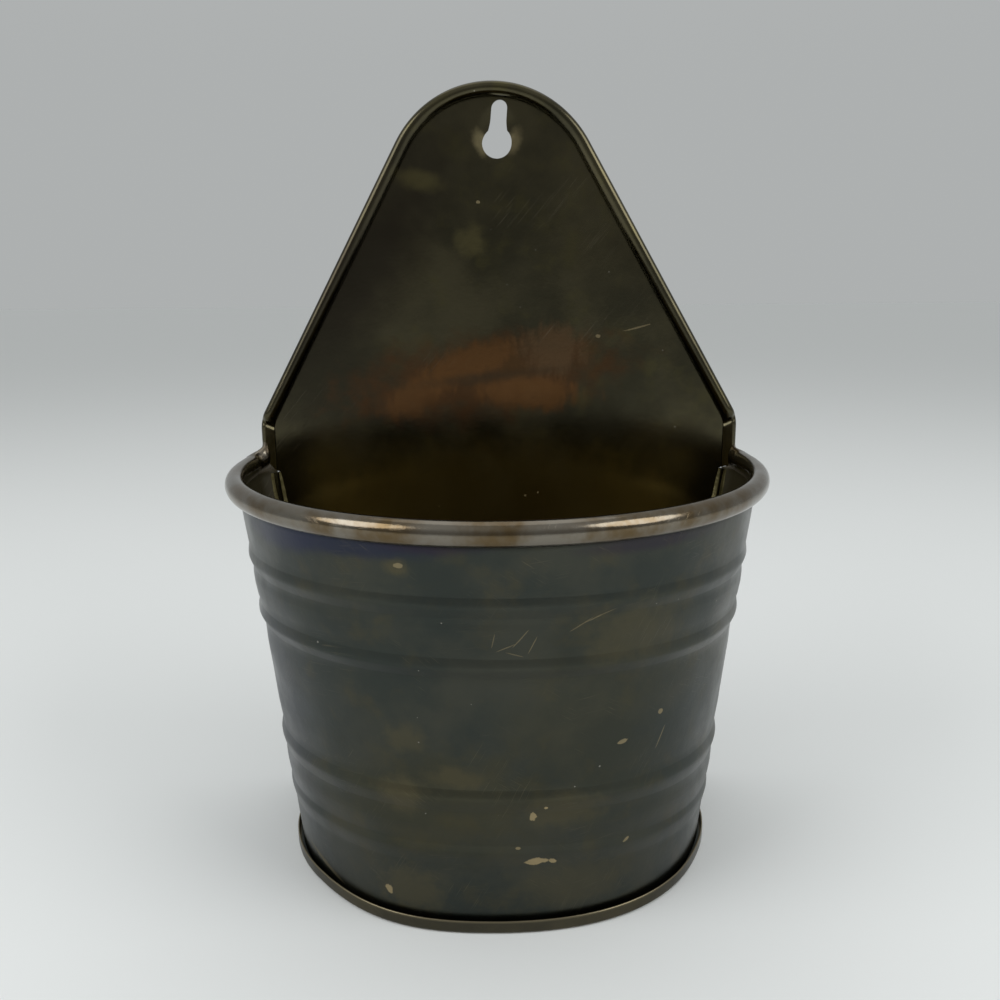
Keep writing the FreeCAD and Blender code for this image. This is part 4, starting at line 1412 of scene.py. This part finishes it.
# floor, light and camera
studio = {
    "floorTone": (0.78, 0.80, 0.795, 1.0),
    "floorHalf": 30.0,
    "backTone": (0.42, 0.435, 0.435, 1.0),
    "frontTone": (0.30, 0.30, 0.29, 1.0),
    "topTone": (0.60, 0.61, 0.61, 1.0),
}


def makeFloor():
    work = bmesh.new()
    bmesh.ops.create_grid(work, x_segments=1, y_segments=1, size=studio["floorHalf"])
    mesh = bpy.data.meshes.new("floor")
    work.to_mesh(mesh)
    work.free()
    mesh.transform(Matrix.Translation((0, 0, -0.0002)))
    floor = bpy.data.objects.new("floor", mesh)
    scene.collection.objects.link(floor)
    material = bpy.data.materials.new("paleFloor")
    material.use_nodes = True
    shader = material.node_tree.nodes["Principled BSDF"]
    shader.inputs["Base Color"].default_value = studio["floorTone"]
    shader.inputs["Roughness"].default_value = 0.9
    shader.inputs["Specular IOR Level"].default_value = 0.1
    mesh.materials.append(material)


def makeWorld():
    # pale behind, at the sides and above, dim in front, as in a room
    world = bpy.data.worlds.new("room")
    scene.world = world
    world.use_nodes = True
    tree = world.node_tree
    background = tree.nodes["Background"]
    coordinates = tree.nodes.new("ShaderNodeTexCoord")
    x, y, z = separate(Flow(tree, coordinates.outputs["Generated"]))
    front = (y * -1).ease(0.1, 0.75)
    low = z.ease(0.15, 0.7, 1.0, 0.0)
    color = mixColor(tree, z.ease(0.2, 0.9), studio["backTone"], studio["topTone"])
    color = mixColor(tree, front * low, color, studio["frontTone"])
    plug(tree, background.inputs["Color"], color)


def addLamp(name, place, aim, size, power):
    lamp = bpy.data.lights.new(name, "AREA")
    lamp.shape = "DISK"
    lamp.size = size
    lamp.energy = power
    holder = bpy.data.objects.new(name, lamp)
    holder.location = place
    holder.rotation_mode = "QUATERNION"
    holder.rotation_quaternion = (Vector(aim) - Vector(place)).to_track_quat("-Z", "Y")
    scene.collection.objects.link(holder)


def makeCamera():
    # the photograph's own viewpoint, in millimetres and degrees
    yaw = math.radians(0.40)
    pitch = math.radians(-12.21)
    roll = math.radians(-0.44)
    forward = Vector((math.sin(yaw) * math.cos(pitch), math.cos(yaw) * math.cos(pitch), math.sin(pitch)))
    level = Vector((math.cos(yaw), -math.sin(yaw), 0))
    up = level.cross(forward)
    right = level * math.cos(roll) + up * math.sin(roll)
    above = up * math.cos(roll) - level * math.sin(roll)
    lens = bpy.data.cameras.new("camera")
    lens.sensor_width = 36.0
    lens.lens = 33.264
    lens.clip_start = 0.01
    camera = bpy.data.objects.new("camera", lens)
    scene.collection.objects.link(camera)
    turn = Matrix((right, above, -forward)).transposed().to_4x4()
    camera.matrix_world = Matrix.Translation(Vector((-1.31, -269.59, 177.56)) * millimetre) @ turn
    scene.camera = camera


makeFloor()
makeWorld()
addLamp("overhead", (0, 0.3, 1.4), (0, 0, 0.1), 1.2, 2.0)
addLamp("leftFront", (-0.86, -0.46, 0.72), (0, -0.05, 0.1), 0.75, 5.2)
addLamp("rightFront", (0.86, -0.46, 0.72), (0, -0.05, 0.1), 0.75, 5.2)
makeCamera()
scene.view_settings.view_transform = "Standard"
